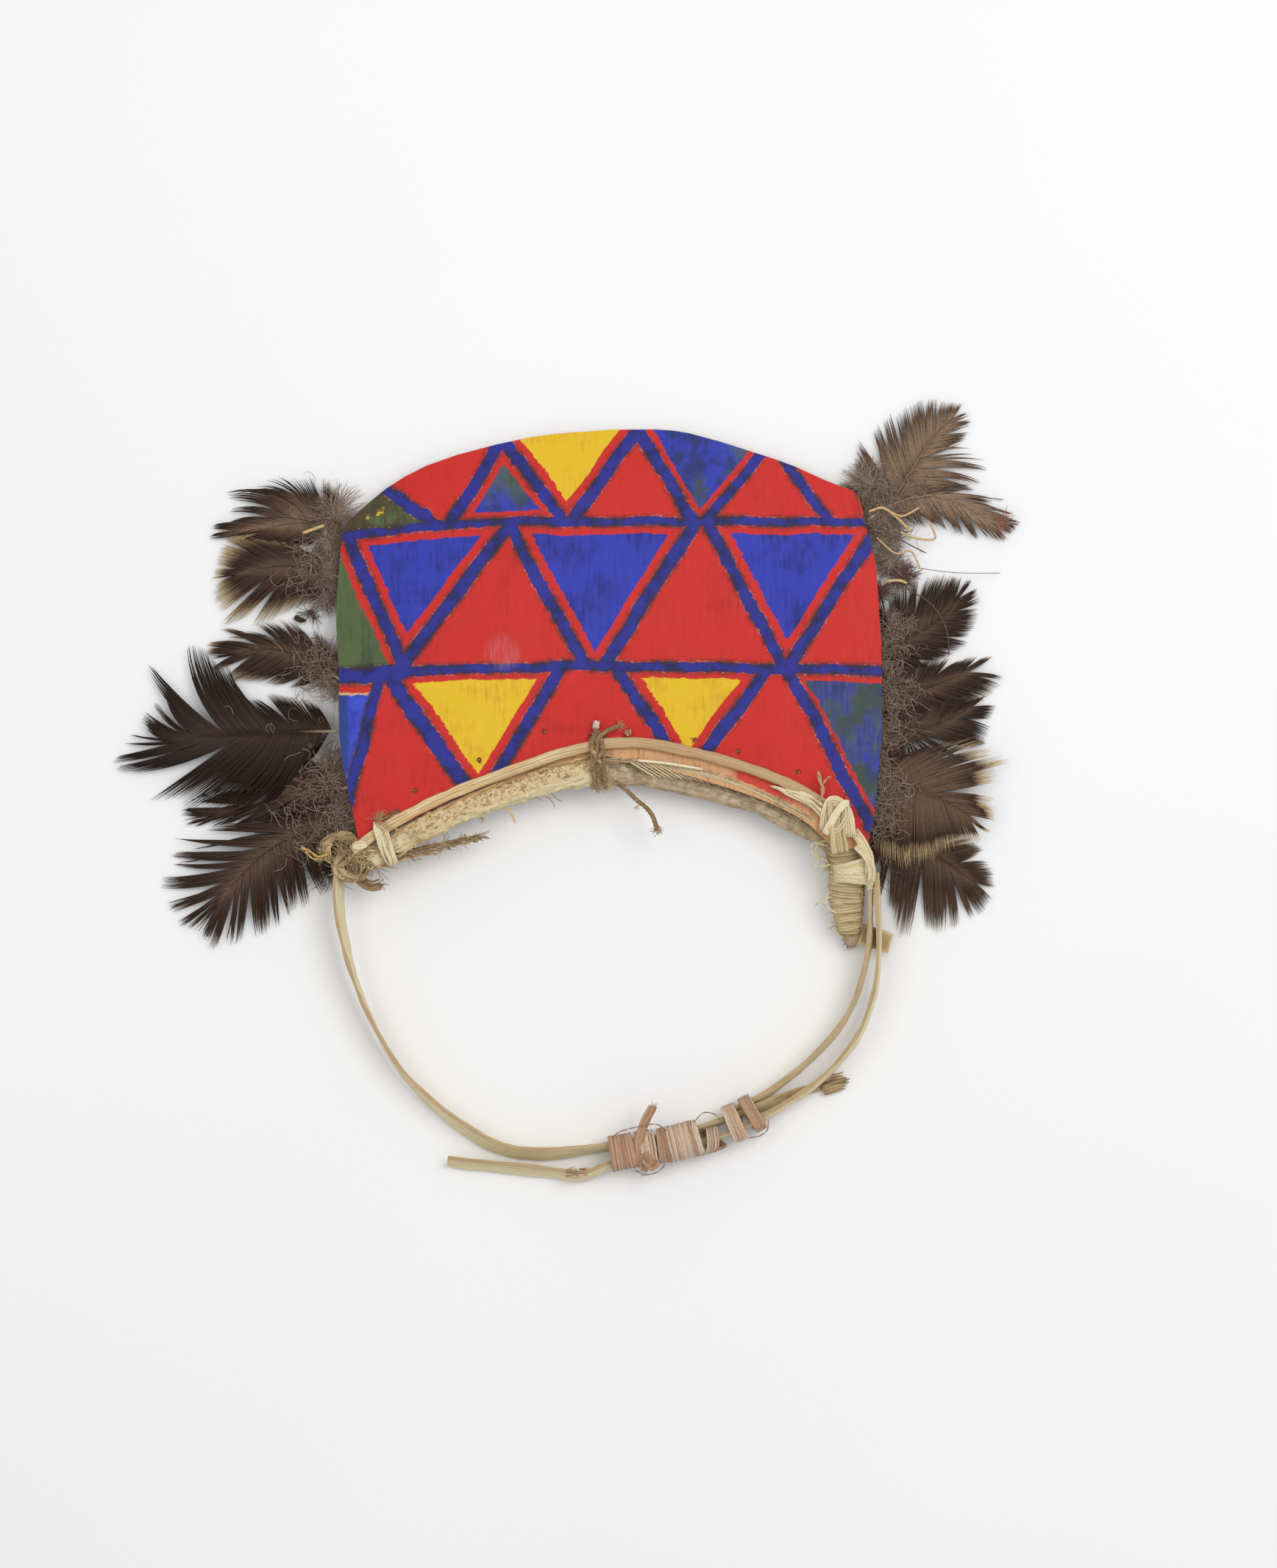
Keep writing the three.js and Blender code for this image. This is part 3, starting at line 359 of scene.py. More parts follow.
def filled(name, near, far, band_over, band_under):
    """The paint in one space, from the distances to the lines and the bands that bound it."""
    if name == "green":
        streaks = (patchy * 1.3 + quiver * 0.5).rise(1.05, 1.2)
        dirty = green_paint.coated(tint(68, 50, 32), (blotches + grain * 0.3).rise(0.5, 0.7) * 0.8)
        return dirty.coated(YELLOW, streaks * 0.8)
    if name == "olive edge":
        return red_paint.coated(green_paint, (-near).rise(0, 1))
    if name == "pale blue":
        from_bar = abs(upward - BAR_HEIGHT)
        bar = (from_bar - 1.7).rise(0.5, -0.4) * (-across).rise(87.6, 88.4)
        outline = (from_bar - 2.5).rise(0.4, -0.2) * (-across).rise(86.8, 87.6)
        edge_dark = (-across + (patchy - 0.5) * 8).rise(96.4, 99)
        sky_blue = blue_paint.coated(tint(62, 86, 214), (patchy + blotches * 0.4).rise(0.5, 0.8) * 0.7)
        field = sky_blue.coated(tint(34, 56, 104), edge_dark * 0.8)
        return field.coated(tint(214, 176, 120), outline * worn.rise(0.3, 0.5)).coated(red_paint, bar)
    if name == "mottled":
        streaky = (blotches * 0.8 + patchy * 0.5 + grain * 0.5).rise(0.78, 0.98)
        corner = across.rise(95.6, 97) * upward.rise(-17, -14) * upward.rise(-3, -6)
        murk = green_paint.coated(blue_paint, streaky * 0.7).coated(BLUE, corner * 0.8)
        murk = murk.coated(tint(44, 56, 62), (blotches + grain * 0.3).rise(0.76, 0.56) * 0.75)
        murk = murk.coated(red_paint, band_over.rise(2.9, 2.4))
        return murk.coated(red_paint, (-near + 2.4 + (patchy - 0.5) * 3).rise(0, 1))
    if name == "mixed up":
        deep = blue_paint.coated(tint(34, 46, 92), patchy.rise(0.45, 0.6) * 0.7)
        olive = (blotches + upward * 0.02 + grain * 0.2).rise(2.32, 2.6) * 0.8
        edge = inside(near, far, 2.6).least(band_under - 2.2)
        return red_paint.coated(deep.coated(green_paint, olive), edge.rise(0, 0.5))
    if name == "murky":
        deep = blue_paint.coated(tint(36, 48, 88), patchy.rise(0.42, 0.58) * 0.8)
        olive = (blotches + across * 0.012 + grain * 0.2).rise(1.02, 1.2) * 0.75
        return red_paint.coated(deep.coated(green_paint, olive), inside(near, far, 2.2).rise(0, 0.5))
    if name == "blue":
        edge = inside(near, far, 3.4).least(band_over - 3.0)
        return red_paint.coated(blue_paint, edge.rise(0, 0.5))
    if name == "yellow":
        edge = inside(near, far, 3.3).least(band_over - 2.4)
        return red_paint.coated(yellow_paint, edge.rise(0, 0.5))
    return red_paint


def painted_row(row, band_over, band_under):
    """The paint of one row of spaces, and the distance from its nearest blue line's edge."""
    low, high, first_fill, lines = row
    steps = []
    for foot, head, wide, fill in lines:
        lean = (head - foot) / (high - low)
        off = (across - (upward - low) * lean - foot) * (1 / math.hypot(1, lean))
        steps.append((off, wide * LINE_HALF, fill))
    paint = filled(first_fill, steps[0][0] + 4.6, steps[0][0], band_over, band_under)
    line_edge = None
    for index, (off, half, fill) in enumerate(steps):
        near = off - half
        far = near
        if index + 1 < len(steps):
            next_off, next_half, _ = steps[index + 1]
            far = -next_off - next_half
        space = filled(fill, near, far, band_over or near, band_under)
        paint = paint.coated(space, off.rise(-0.2, 0.2))
        edge = abs(off) - half
        line_edge = edge if line_edge is None else line_edge.least(edge)
    return paint, line_edge


above_upper = upward - UPPER_BAND + (-across - 20).most(0) ** 2 * 0.00086
upper_band = abs(above_upper) - UPPER_BAND_HALF
lower_dip = across.least(0) ** 2 * 0.00038 + across.most(0) * 0.017
above_lower = upward - LOWER_BAND + lower_dip
lower_band = abs(above_lower) - LOWER_BAND_HALF - (-across).rise(74, 78) * 1.1
crown_paint, crown_lines = painted_row(CROWN_ROW, None, upper_band)
middle_paint, middle_lines = painted_row(MIDDLE_ROW, upper_band, lower_band)
brow_paint, brow_lines = painted_row(BROW_ROW, lower_band, lower_band)
over_upper = above_upper.rise(-0.1, 0.1)
under_lower = above_lower.rise(0.1, -0.1)
paint = middle_paint.coated(crown_paint, over_upper).coated(brow_paint, under_lower)
line_edge = middle_lines + (crown_lines - middle_lines) * over_upper
line_edge = line_edge + (brow_lines - line_edge) * under_lower
line_edge = line_edge.least(upper_band).least(lower_band) + (patchy - 0.5) * 1.1
paint = paint.coated(line_paint, line_edge.rise(0.35, -0.15))

smudge = line_edge.rise(-1.5, -0.1) * line_edge.rise(1.9, 0.2)
paint = paint.coated(SOOT, smudge * (patchy + blotches * 0.5).rise(0.58, 0.86) * 0.75)
rubbed = line_edge.rise(0.05, 0.25) * line_edge.rise(0.75, 0.45)
paint = paint.coated(WOOD_SHADE, rubbed * worn.rise(0.46, 0.6) * (1 - patchy).rise(0.42, 0.58) * 0.75)
paint = paint.coated(SOOT, blotches.rise(0.66, 0.8) * grain.rise(0.5, 0.75) * 0.35)
scuff = (upward - 33.7) * (upward - 33.7) + (across + 39.6) * (across + 39.6)
paint = paint.coated(tint(190, 150, 150), scuff.rise(70, 6) * grain.rise(0.3, 0.75) * 0.3)

left_drop = (BROW_PEAK - across).most(0.01) ** LEFT_POWER * LEFT_FALL
right_drop = (across - BROW_PEAK).most(0.01) ** RIGHT_POWER * RIGHT_FALL
brow_line = BROW_TOP - left_drop - right_drop
margin = (upward - brow_line + 2.6).rise(0.5, -0.5)
red_rest = (brow_line - upward).rise(7.2, 6.2) * across.rise(44, 50) * across.rise(76, 62)
bare = grain.rise(0.45, 0.75).between(BARE_WOOD, WOOD_SHADE)
paint = paint.coated(bare, margin * (1 - red_rest * 0.9))
facing = on_board.node("ShaderNodeNewGeometry", {}, {}, out="Normal").axis("Z")
plain_wood = grain.rise(0.4, 0.7).between(SIDE_WOOD, tint(120, 88, 60))
paint = plain_wood.coated(paint, facing.rise(0.35, 0.6))
paint.feeds(painted_shader, "Base Color")
(grain * 0.25 + 0.42 + patchy * 0.12).feeds(painted_shader, "Roughness")
relief = grain * 0.6 + worn * 0.25 + line_edge.rise(0.4, -0.4) * 0.5
relief.bumped(0.00018, 0.6).feeds(painted_shader, "Normal")
settle(board, painted, "painted_board")


# The cane. The strip along the brow, the three strips of the hoop and the tab are split cane: a
# smooth pale skin outside, stringy yellow wood inside, and brown edges where they were split.
def smooth_line(points, count):
    """So many evenly spaced places on a smooth curve through the given points."""
    places = [Vector(point) for point in points]
    ends = [places[0] * 2 - places[1], *places, places[-1] * 2 - places[-2]]
    line = []
    for index in range(count):
        at = index / (count - 1) * (len(places) - 1)
        leg = min(int(at), len(places) - 2)
        part = at - leg
        a, b, c, d = ends[leg:leg + 4]
        line.append(0.5 * (b * 2 + (c - a) * part + (a * 2 - b * 5 + c * 4 - d) * part**2
                           + (b * 3 - a - c * 3 + d) * part**3))
    return line


def runs_of(path, unit=MM):
    """How far along a path each of its places is, in millimetres if no other unit is given."""
    runs = [0.0]
    for a, b in zip(path, path[1:]):
        runs.append(runs[-1] + (b - a).length / unit)
    return runs


def lay_along(piece, path):
    """Keeps for each point of the piece how far along and off a path it lies, in millimetres."""
    runs = runs_of(path, 1)
    values = []
    for vertex in piece.data.vertices:
        here = vertex.co.copy()
        here.z = 0
        best = None
        for index, (a, b) in enumerate(zip(path, path[1:])):
            leg = b - a
            share = min(max((here - a).dot(leg) / leg.length_squared, 0), 1)
            off = here - (a + leg * share)
            if best is None or off.length < best[0]:
                sign = 1 if leg.cross(off).z < 0 else -1
                best = (off.length, runs[index] + share * leg.length, off.length * sign)
        values += [best[1] / MM, best[2] / MM, vertex.co.z / MM]
    way = piece.data.attributes.new("way", "FLOAT_VECTOR", "POINT")
    way.data.foreach_set("vector", values)


def flat_path(points, count=60):
    """A smooth path over the table through places in millimetres, for laying a grain along."""
    return [spot(place.x, place.y, 0) for place in smooth_line([(x, y, 0) for x, y in points], count)]


BROW_LINE = [(-97.5, -40.7), (-82, -30.2), (-61.7, -19.7), (-37.4, -10.2), (-12.3, -2.1), (8.8, 0.6),
             (28.8, -2.6), (49.3, -8.1), (67.8, -15.1), (82.2, -23.5), (93.5, -35)]
LEFT_CANE = [(-100.5, -44.2), (-101.5, -66.2), (-95, -92.3), (-85, -114.4), (-71.7, -132.2),
             (-52.3, -147.8), (-29.1, -155.9), (-6.4, -154), (29.1, -147.8), (60.2, -136.9), (89.2, -127.9)]
OUTER_CANE = [(100.8, -49.4), (101.6, -81.7), (94.4, -110.6), (81.7, -126.2), (66.7, -137.1),
              (48.7, -146.5), (21.3, -155.2), (0.8, -159.7), (-9.7, -164.6), (-34.6, -161.5), (-61.2, -158.7)]
INNER_CANE = [(98.5, -49.4), (98.2, -75.5), (92.8, -97.7), (82, -114), (65.4, -128.9), (47.8, -138.8)]

CANE_SKIN = tint(226, 210, 168)
CANE_SKIN_GREEN = tint(214, 199, 156)
CANE_WOOD = tint(210, 178, 126)
CANE_WOOD_DARK = tint(158, 116, 72)
CANE_EDGE = tint(150, 112, 72)
CANE_TAN = tint(176, 140, 98)


def cane_finish(name, skin, wood, lines, tanned=None):
    """Split cane: fine lengthwise fibres, with brown streaks and stains along them."""
    material, shader, on_cane = new_finish(name, {"Roughness": 0.42})
    way = on_cane.kept("way", "Vector")
    fibres = way.stretched(0.02, 1.6, 1.6).cloud(1.0, 4.0, 0.7)
    hairs = way.stretched(0.03, 5.0, 5.0).cloud(1.0, 3.0, 0.7)
    stains = way.stretched(0.05, 0.3, 0.3).cloud(1.0, 3.0, 0.6)
    flecks = way.stretched(0.5, 1.8, 1.8).cloud(1.0, 2.0, 0.6)
    tone = stains.rise(0.35, 0.7).between(skin, wood)
    if tanned:
        tone = tone.coated(CANE_TAN, way.axis("X").rise(*tanned) * (0.45 + stains * 0.6))
    tone = tone.coated(CANE_WOOD_DARK, fibres.rise(0.52, 0.72) * 0.55 * lines)
    tone = tone.coated(CANE_WOOD_DARK, hairs.rise(0.6, 0.7) * 0.35 * lines)
    edge = on_cane.kept("edge", "Fac")
    tone = tone.coated(CANE_EDGE, (edge * 1.6).least(1) * (0.2 + fibres * 0.9))
    off = way.axis("Y")
    for place, strength in ((1.1, 0.7), (0.1, 0.5), (-1.0, 0.6)):
        split_line = (abs(off - place + (stains - 0.5) * 1.6) - 0.1).rise(0.18, 0.0)
        tone = tone.coated(CANE_WOOD_DARK, split_line * fibres.rise(0.35, 0.6) * strength * lines)
    tone = tone.coated(tint(110, 78, 50), flecks.rise(0.76, 0.82) * 0.6)
    tone.feeds(shader, "Base Color")
    (0.36 + hairs * 0.25).feeds(shader, "Roughness")
    (fibres * 0.7 + hairs * 0.5).bumped(0.00025, 0.7).feeds(shader, "Normal")
    return material


def mark_edges(piece, narrow):
    """Marks the points on the cane's narrow upper edge, which is brown where it was split."""
    shares = [(abs(normal.vector.z) - narrow) / (1 - narrow) for normal in piece.data.vertex_normals]
    edge = piece.data.attributes.new("edge", "FLOAT", "POINT")
    edge.data.foreach_set("value", [max(0.0, min(1.0, share)) for share in shares])


def roughened(piece, size, depth, seed, only=None):
    """Moves the points of a piece in and out along their normals by smooth noise."""
    normals = [item.vector.copy() for item in piece.data.vertex_normals]
    shift = Vector((seed * 3.1, seed * 1.7, 0))
    for vertex, normal in zip(piece.data.vertices, normals):
        share = only(vertex.co) if only else 1.0
        if share > 0:
            lump = noise.noise(vertex.co / (size * MM) + shift)
            vertex.co += normal * lump * depth * MM * share
    piece.data.update()


def joined_in_quads(piece):
    """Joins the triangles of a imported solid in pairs, so that they can be rounded evenly."""
    limit = math.radians(60)
    edit(piece, bpy.ops.mesh.tris_convert_to_quads, face_threshold=limit, shape_threshold=limit)


TAB_LINE = [(93.5, -72), (107, -79)]
TAB_SKIN = tint(206, 188, 138)
TAB_WOOD = tint(190, 170, 116)
SPLIT_ROUND = 0.0004
FLAT_STRIP, UPRIGHT_STRIP = 0.999, 0.5
strip_finish = cane_finish("split_cane_strip", CANE_WOOD, CANE_SKIN, 1.2, (60, 130))
hoop_finish = cane_finish("split_cane_hoop", CANE_SKIN, CANE_SKIN_GREEN, 0.45)
tab_finish = cane_finish("cane_tab_skin", TAB_SKIN, TAB_WOOD, 0.4)

for seed, (node, name, path, finish, narrow) in enumerate((
    ("front_strip", "brow_strip", BROW_LINE, strip_finish, FLAT_STRIP),
    ("hoop_left_strip", "hoop_left", LEFT_CANE, hoop_finish, UPRIGHT_STRIP),
    ("hoop_outer_strip", "hoop_outer", OUTER_CANE, hoop_finish, UPRIGHT_STRIP),
    ("hoop_inner_strip", "hoop_inner", INNER_CANE, hoop_finish, UPRIGHT_STRIP),
    ("cane_tab", "hoop_tab", TAB_LINE, tab_finish, FLAT_STRIP),
), start=1):
    cane = copy_of(node, name)
    joined_in_quads(cane)
    rounded(cane, SPLIT_ROUND, 2, 38)
    modify(cane, "SUBSURF", levels=2, render_levels=2)
    mark_edges(cane, narrow)
    lay_along(cane, flat_path(path))
    roughened(cane, 9, 0.35, seed)
    roughened(cane, 2.2, 0.16, seed)
    choose(cane)
    bpy.ops.object.shade_smooth_by_angle(angle=math.radians(50))
    settle(cane, finish, node)


# The roll along the brow. On the left it is half a pithy stem, cut open to its crumbly inside; on
# the right it is wound in thin net and fibre, and it tapers to a wrapped tip beside the hoop.
PITH = tint(206, 178, 132)
PITH_LIGHT = tint(228, 206, 164)
PITH_DARK = tint(150, 112, 70)
NET_GREY = tint(202, 182, 150)
NET_DARK = tint(152, 128, 96)

roll = copy_of("brow_roll", "pith_roll")
joined_in_quads(roll)
modify(roll, "SUBSURF", levels=3, render_levels=3)
lay_along(roll, flat_path(BROW_LINE, 80))


def pithy(place):
    """How much of the crumbly pith shows at a place: all of it on the left half, but for its end."""
    x = (place.x - BROW_X) / MM
    return max(0.0, min(1.0, (-2 - x) / 6, (x + 90) / 14))


roughened(roll, 7, 0.8, 11)
roughened(roll, 1.6, 0.95, 12, pithy)
roughened(roll, 0.8, 0.7, 13, pithy)
roughened(roll, 2.4, 0.35, 14, lambda place: 1 - pithy(place))

pith_finish, pith_shader, on_pith = new_finish("pith_and_net", {"Roughness": 0.85})
pith_way = on_pith.kept("way", "Vector")
pith_off = pith_way.axis("Y")
pith_x = on_pith.axis("X") * 1000 - BROW_X * 1000
crumbs = on_pith.cloud(900, 4.0, 0.7)
coarse = on_pith.cloud(340, 3.0, 0.6)
strings = pith_way.stretched(0.04, 2.2, 2.2).cloud(1.0, 4.0, 0.7)
opened = (-abs(pith_off - 7.9 + (coarse - 0.5) * 4)).rise(-3.0, -1.2)
specks = crumbs.rise(0.58, 0.68) * coarse.rise(0.46, 0.56) * opened
crumbly = crumbs.rise(0.3, 0.65).between(PITH, PITH_LIGHT)
crumbly = crumbly.coated(CANE_WOOD, opened.rise(0.6, 0.1) * strings.rise(0.4, 0.65) * 0.7)
crumbly = crumbly.coated(PITH_DARK, (crumbs + coarse * 0.7).rise(0.88, 0.72) * (0.2 + opened * 0.6))
crumbly = crumbly.coated(tint(104, 70, 42), specks * 0.8)
skin = strings.rise(0.5, 0.75).between(CANE_SKIN, CANE_WOOD_DARK)
skin = skin.coated(PITH_LIGHT, strings.rise(0.42, 0.3) * 0.6)
netted = (strings * 0.7 + coarse * 0.5).rise(0.45, 0.75).between(NET_GREY, NET_DARK)
netted = netted.coated(PITH_LIGHT, crumbs.rise(0.62, 0.72) * 0.5)
skin_edge = (pith_off + (coarse - 0.5) * 1.4).rise(10.3, 10.9) * pith_x.rise(-74, -52)
skin_end = (pith_x + (coarse - 0.5) * 8).rise(-72, -80)
net_start = (pith_x + (coarse - 0.5) * 10).rise(-6, 2)
crumbly.coated(skin, skin_edge.most(skin_end)).coated(netted, net_start).feeds(pith_shader, "Base Color")
(crumbs * 0.8 + coarse * 0.6 + strings * 0.4).bumped(0.0006, 0.9).feeds(pith_shader, "Normal")
roll.data.shade_smooth()
settle(roll, pith_finish, "brow_roll")


# The loose fibre along the brow. Torn fibres and chips of pith lie in the seam between the strip and
# the roll, with a few dark hairs and a curved splinter, and strands and net cross the right half.
# Nothing ties them down. They are laid strand by strand, as every tie after them is wound.
BOARD_RISE = 117.7
BOARD_TILT = math.radians(5.6)
BOARD_THICK = 3.2
twine_finish, twine_shader, on_twine = new_finish("plant_fibre", {"Roughness": 0.8, "Sheen Weight": 0.1})
twine_tone = on_twine.node("ShaderNodeVertexColor", {"layer_name": "tone"}, {})
twine_noise = on_twine.cloud(1600, 3.0, 0.6)
twine_tone.coated(tint(92, 66, 42), twine_noise.rise(0.52, 0.75) * 0.45).feeds(twine_shader, "Base Color")
twine_noise.bumped(0.00015, 0.6).feeds(twine_shader, "Normal")

TWINE = tint(160, 130, 88)
TWINE_DARK = tint(110, 84, 54)
TWINE_LIGHT = tint(196, 170, 124)
FIBRE = tint(212, 192, 146)
FIBRE_WHITE = tint(232, 220, 186)
FIBRE_SHADE = tint(160, 136, 94)
BROWN = (TWINE, TWINE_DARK)
FUZZ = (TWINE_LIGHT, TWINE)
PALE = (FIBRE_WHITE, FIBRE)


def back_height(y):
    """How high the board's back is over the table, at y millimetres from the brow line."""
    return (BOARD_RISE - y) * math.tan(BOARD_TILT)


def board_spot(x, y, over_face):
    """A place over the painted face, by so many millimetres."""
    return spot(x, y, back_height(y) + BOARD_THICK / math.cos(BOARD_TILT) + over_face)


def board_spots(*places):
    """Places over the painted face."""
    return [board_spot(*place) for place in places]


def spots(*places):
    """Places over the table."""
    return [spot(*place) for place in places]


def brow_height(x):
    """The height of the brow line at a place along it, in millimetres on the board."""
    if x < BROW_PEAK:
        return BROW_TOP - (BROW_PEAK - x) ** LEFT_POWER * LEFT_FALL
    return BROW_TOP - (x - BROW_PEAK) ** RIGHT_POWER * RIGHT_FALL


def path_frames(path, ups=None):
    """The run, the side and the top at each place of a path."""
    last = len(path) - 1
    frames = []
    for index in range(len(path)):
        run = (path[min(index + 1, last)] - path[max(index - 1, 0)]).normalized()
        up = ups[index] if ups else Vector((0, 0, 1))
        side = run.cross(up).normalized()
        frames.append((run, side, side.cross(run)))
    return frames


def blended(one, other, share):
    """A colour or a place that is a share of the way from one to the other."""
    return tuple(a + (b - a) * share for a, b in zip(one, other))


def along(rows, at):
    """The row at a place in a table whose first column goes up."""
    for low, high in zip(rows, rows[1:]):
        if at <= high[0]:
            share = max(0.0, (at - low[0]) / (high[0] - low[0]))
            return blended(low, high, share)
    return rows[-1]


def length_of(path):
    """How long a path is, in millimetres."""
    return sum((b - a).length for a, b in zip(path, path[1:])) / MM


def resampled(points, step):
    """Places on a smooth curve through the points, about a step of millimetres apart."""
    return smooth_line(points, max(4, int(length_of(points) / step)))


class Strands:
    """Many thin tapering strands that are joined into one mesh, each with its colours."""

    def __init__(self, chance):
        self.chance = chance
        self.points = []
        self.faces = []
        self.colours = []

    def add(self, path, widths, colours, sides=3, flat=0.45, up=Vector((0, 0, 1))):
        """One strand with a width and a colour at each of its places, and so many sides."""
        first = len(self.points)
        last = len(path) - 1
        for index, place in enumerate(path):
            run = (path[min(index + 1, last)] - path[max(index - 1, 0)]).normalized()
            side = run.cross(up)
            side = side.normalized() if side.length > 1e-6 else Vector((1, 0, 0))
            top = side.cross(run)
            half = widths[index] * MM / 2
            for corner in range(sides):
                angle = 2 * math.pi * corner / sides + math.pi / 2
                out = side * (math.cos(angle) * half)
                self.points.append(place + out + top * (math.sin(angle) * half * flat))
                self.colours.append(colours[index])
        for index in range(last):
            for corner in range(sides):
                low = first + index * sides
                beside = (corner + 1) % sides
                self.faces.append((low + corner, low + beside, low + sides + beside, low + sides + corner))
        self.faces.append(tuple(first + corner for corner in reversed(range(sides))))
        self.faces.append(tuple(first + last * sides + corner for corner in range(sides)))

    def fibre(self, points, count, width, tip, tone, sides=5, flat=0.7):
        """A smooth strand of one tone, of one width up to its thin tip."""
        widths = [width] * (count - 1) + [tip]
        self.add(smooth_line(points, count), widths, [tone] * count, sides=sides, flat=flat)

    def cord(self, points, width, tones, plies=3, pitch=5.0, taper=0.0):
        """A cord of twisted plies through these places."""
        path = resampled(points, CORD_STEP)
        frames = path_frames(path)
        turns = [run / pitch for run in runs_of(path)]
        start = self.chance.random()
        for ply in range(plies):
            way = []
            widths = []
            colours = []
            wobble = self.chance.uniform(0.85, 1.15)
            for index, (place, (_, side, top)) in enumerate(zip(path, frames)):
                thin = 1 - taper * index / (len(path) - 1)
                angle = 2 * math.pi * (turns[index] + ply / plies + start)
                reach = width * PLY_REACH * thin * wobble * MM
                way.append(place + side * (math.cos(angle) * reach) + top * (math.sin(angle) * reach))
                widths.append(width * PLY_WIDTH * thin)
                share = min(1, max(0, 0.5 + self.chance.gauss(0, 0.22)))
                colours.append(blended(*tones, share))
            self.add(way, widths, colours, sides=6, flat=0.9)

    def hairs(self, place, heading, spread, lengths, count, tones, width=0.22, rise=0.25):
        """Loose hairs that spread from a frayed place, with their heading in degrees."""
        gauss = self.chance.gauss
        for _ in range(count):
            turn = math.radians(heading + gauss(0, spread))
            bend = gauss(0, 0.22)
            stride = self.chance.uniform(*lengths) / HAIR_STEPS
            lift = gauss(0, rise)
            path = [place + Vector((gauss(0, 0.4), gauss(0, 0.4), gauss(0, 0.3))) * MM]
            for _step in range(HAIR_STEPS):
                turn += bend + gauss(0, 0.12)
                ahead = path[-1] + Vector((math.cos(turn), math.sin(turn), lift)) * stride * MM
                ahead.z = max(ahead.z, TABLE_GAP * MM)
                path.append(ahead)
            tone = blended(*tones, self.chance.random())
            self.add(path, [width] * HAIR_STEPS + [HAIR_TIP], [tone] * (HAIR_STEPS + 1), flat=0.9)

    def band(self, path, ups, width, count, thick, tones, ends=1.0):
        """A flat band of fibres that lie side by side, facing along ups."""
        frames = path_frames(path, ups)
        last = len(path) - 1
        wide = width / count * 1.5
        for fibre in range(count):
            off = ((fibre + 0.5) / count - 0.5) * width
            drift = self.chance.gauss(0, 0.05) * width
            lift = self.chance.uniform(-0.5, 0.5) * thick * 0.6
            tone = blended(*tones, self.chance.random())
            way = []
            widths = []
            colours = []
            for index, (place, (_, side, top)) in enumerate(zip(path, frames)):
                share = index / last
                close = 1 - (1 - ends) * abs(share * 2 - 1) ** 3
                sway = noise.noise(place / (4 * MM) + Vector((fibre * 7.3, 0, 0))) * 0.25
                across_band = side * ((off * close + drift * share + sway) * MM)
                way.append(place + across_band + top * (lift + sway * 0.4) * MM)
                widths.append(max(wide, 0.3) * (0.55 if index in (0, last) else 1))
                colours.append(blended(tone, tones[1], abs(sway)))
            self.add(way, widths, colours, sides=5, flat=max(0.2, min(1, thick / wide)))

    def made(self, name):
        """The piece, with its faces turned outward and its colours kept on its points."""
        mesh = bpy.data.meshes.new(name)
        mesh.from_pydata([tuple(point) for point in self.points], [], self.faces)
        tones = mesh.color_attributes.new("tone", "FLOAT_COLOR", "POINT")
        tones.data.foreach_set("color", [part for colour in self.colours for part in (*colour[:3], 1.0)])
        mesh.shade_smooth()
        mesh.update()
        piece = bpy.data.objects.new(name, mesh)
        bpy.context.collection.objects.link(piece)
        edit(piece, bpy.ops.mesh.normals_make_consistent, inside=False)
        return piece


CORD_STEP = 0.8
PLY_WIDTH = 0.6
PLY_REACH = 0.26
HAIR_STEPS = 6
HAIR_TIP = 0.06
TABLE_GAP = 0.3
PITH_END = -5
chance = random.Random(6)
loose = Strands(chance)


def seam_places(x, reach, drop, sideways, over):
    """The places of one fibre that follows the brow line, up to where the roll ends."""
    places = []
    for step in range(5):
        along_x = x + reach * step / 4
        if along_x > 78:
            break
        y = brow_height(along_x) + drop + chance.gauss(0, sideways)
        places.append(board_spot(along_x, y, chance.gauss(over, 0.25)))
    return places


for _ in range(230):
    x = chance.uniform(-84, 74)
    reach = chance.uniform(6, 17)
    drop = chance.gauss(-4.6 if x < PITH_END else -7.6, 0.5)
    tones = (CANE_WOOD, CANE_WOOD_DARK) if x < PITH_END else (NET_GREY, TWINE)
    tone = blended(*tones, chance.random())
    places = seam_places(x, reach, drop, 0.25, -0.4)
    if len(places) > 3:
        loose.fibre(places, 10, chance.uniform(0.35, 0.9), 0.2, tone)
for index in range(420):
    x = chance.uniform(-80, -9)
    y = brow_height(x) - 6.2 - abs(chance.gauss(2.4, 1.6))
    turn = chance.uniform(0, math.pi)
    size = chance.uniform(0.5, 1.5)
    sink = 0.12 * (brow_height(x) - y - 6) ** 1.5
    foot = board_spot(x, y, 0.9 - sink + chance.uniform(-0.2, 0.4))
    ahead = Vector((math.cos(turn), math.sin(turn), chance.uniform(0.0, 0.8))) * size * MM
    tone = blended(PITH_LIGHT, PITH, chance.random()) if index % 9 else PITH_DARK
    widths = [size * 0.7, size * 0.8, size * 0.35]
    loose.add([foot, foot + ahead * 0.5, foot + ahead], widths, [tone] * 3, sides=4, flat=0.5)
for _ in range(120):
    x = chance.uniform(-78, -10)
    places = []
    for step in range(4):
        along_x = x + step * 4
        places.append(board_spot(along_x, brow_height(along_x) - 11.8 + chance.gauss(0, 0.2), -3.4))
    if x + 12 < -8:
        loose.fibre(places, 8, 0.6, 0.2, blended(CANE_SKIN, CANE_WOOD, chance.random()), flat=0.6)
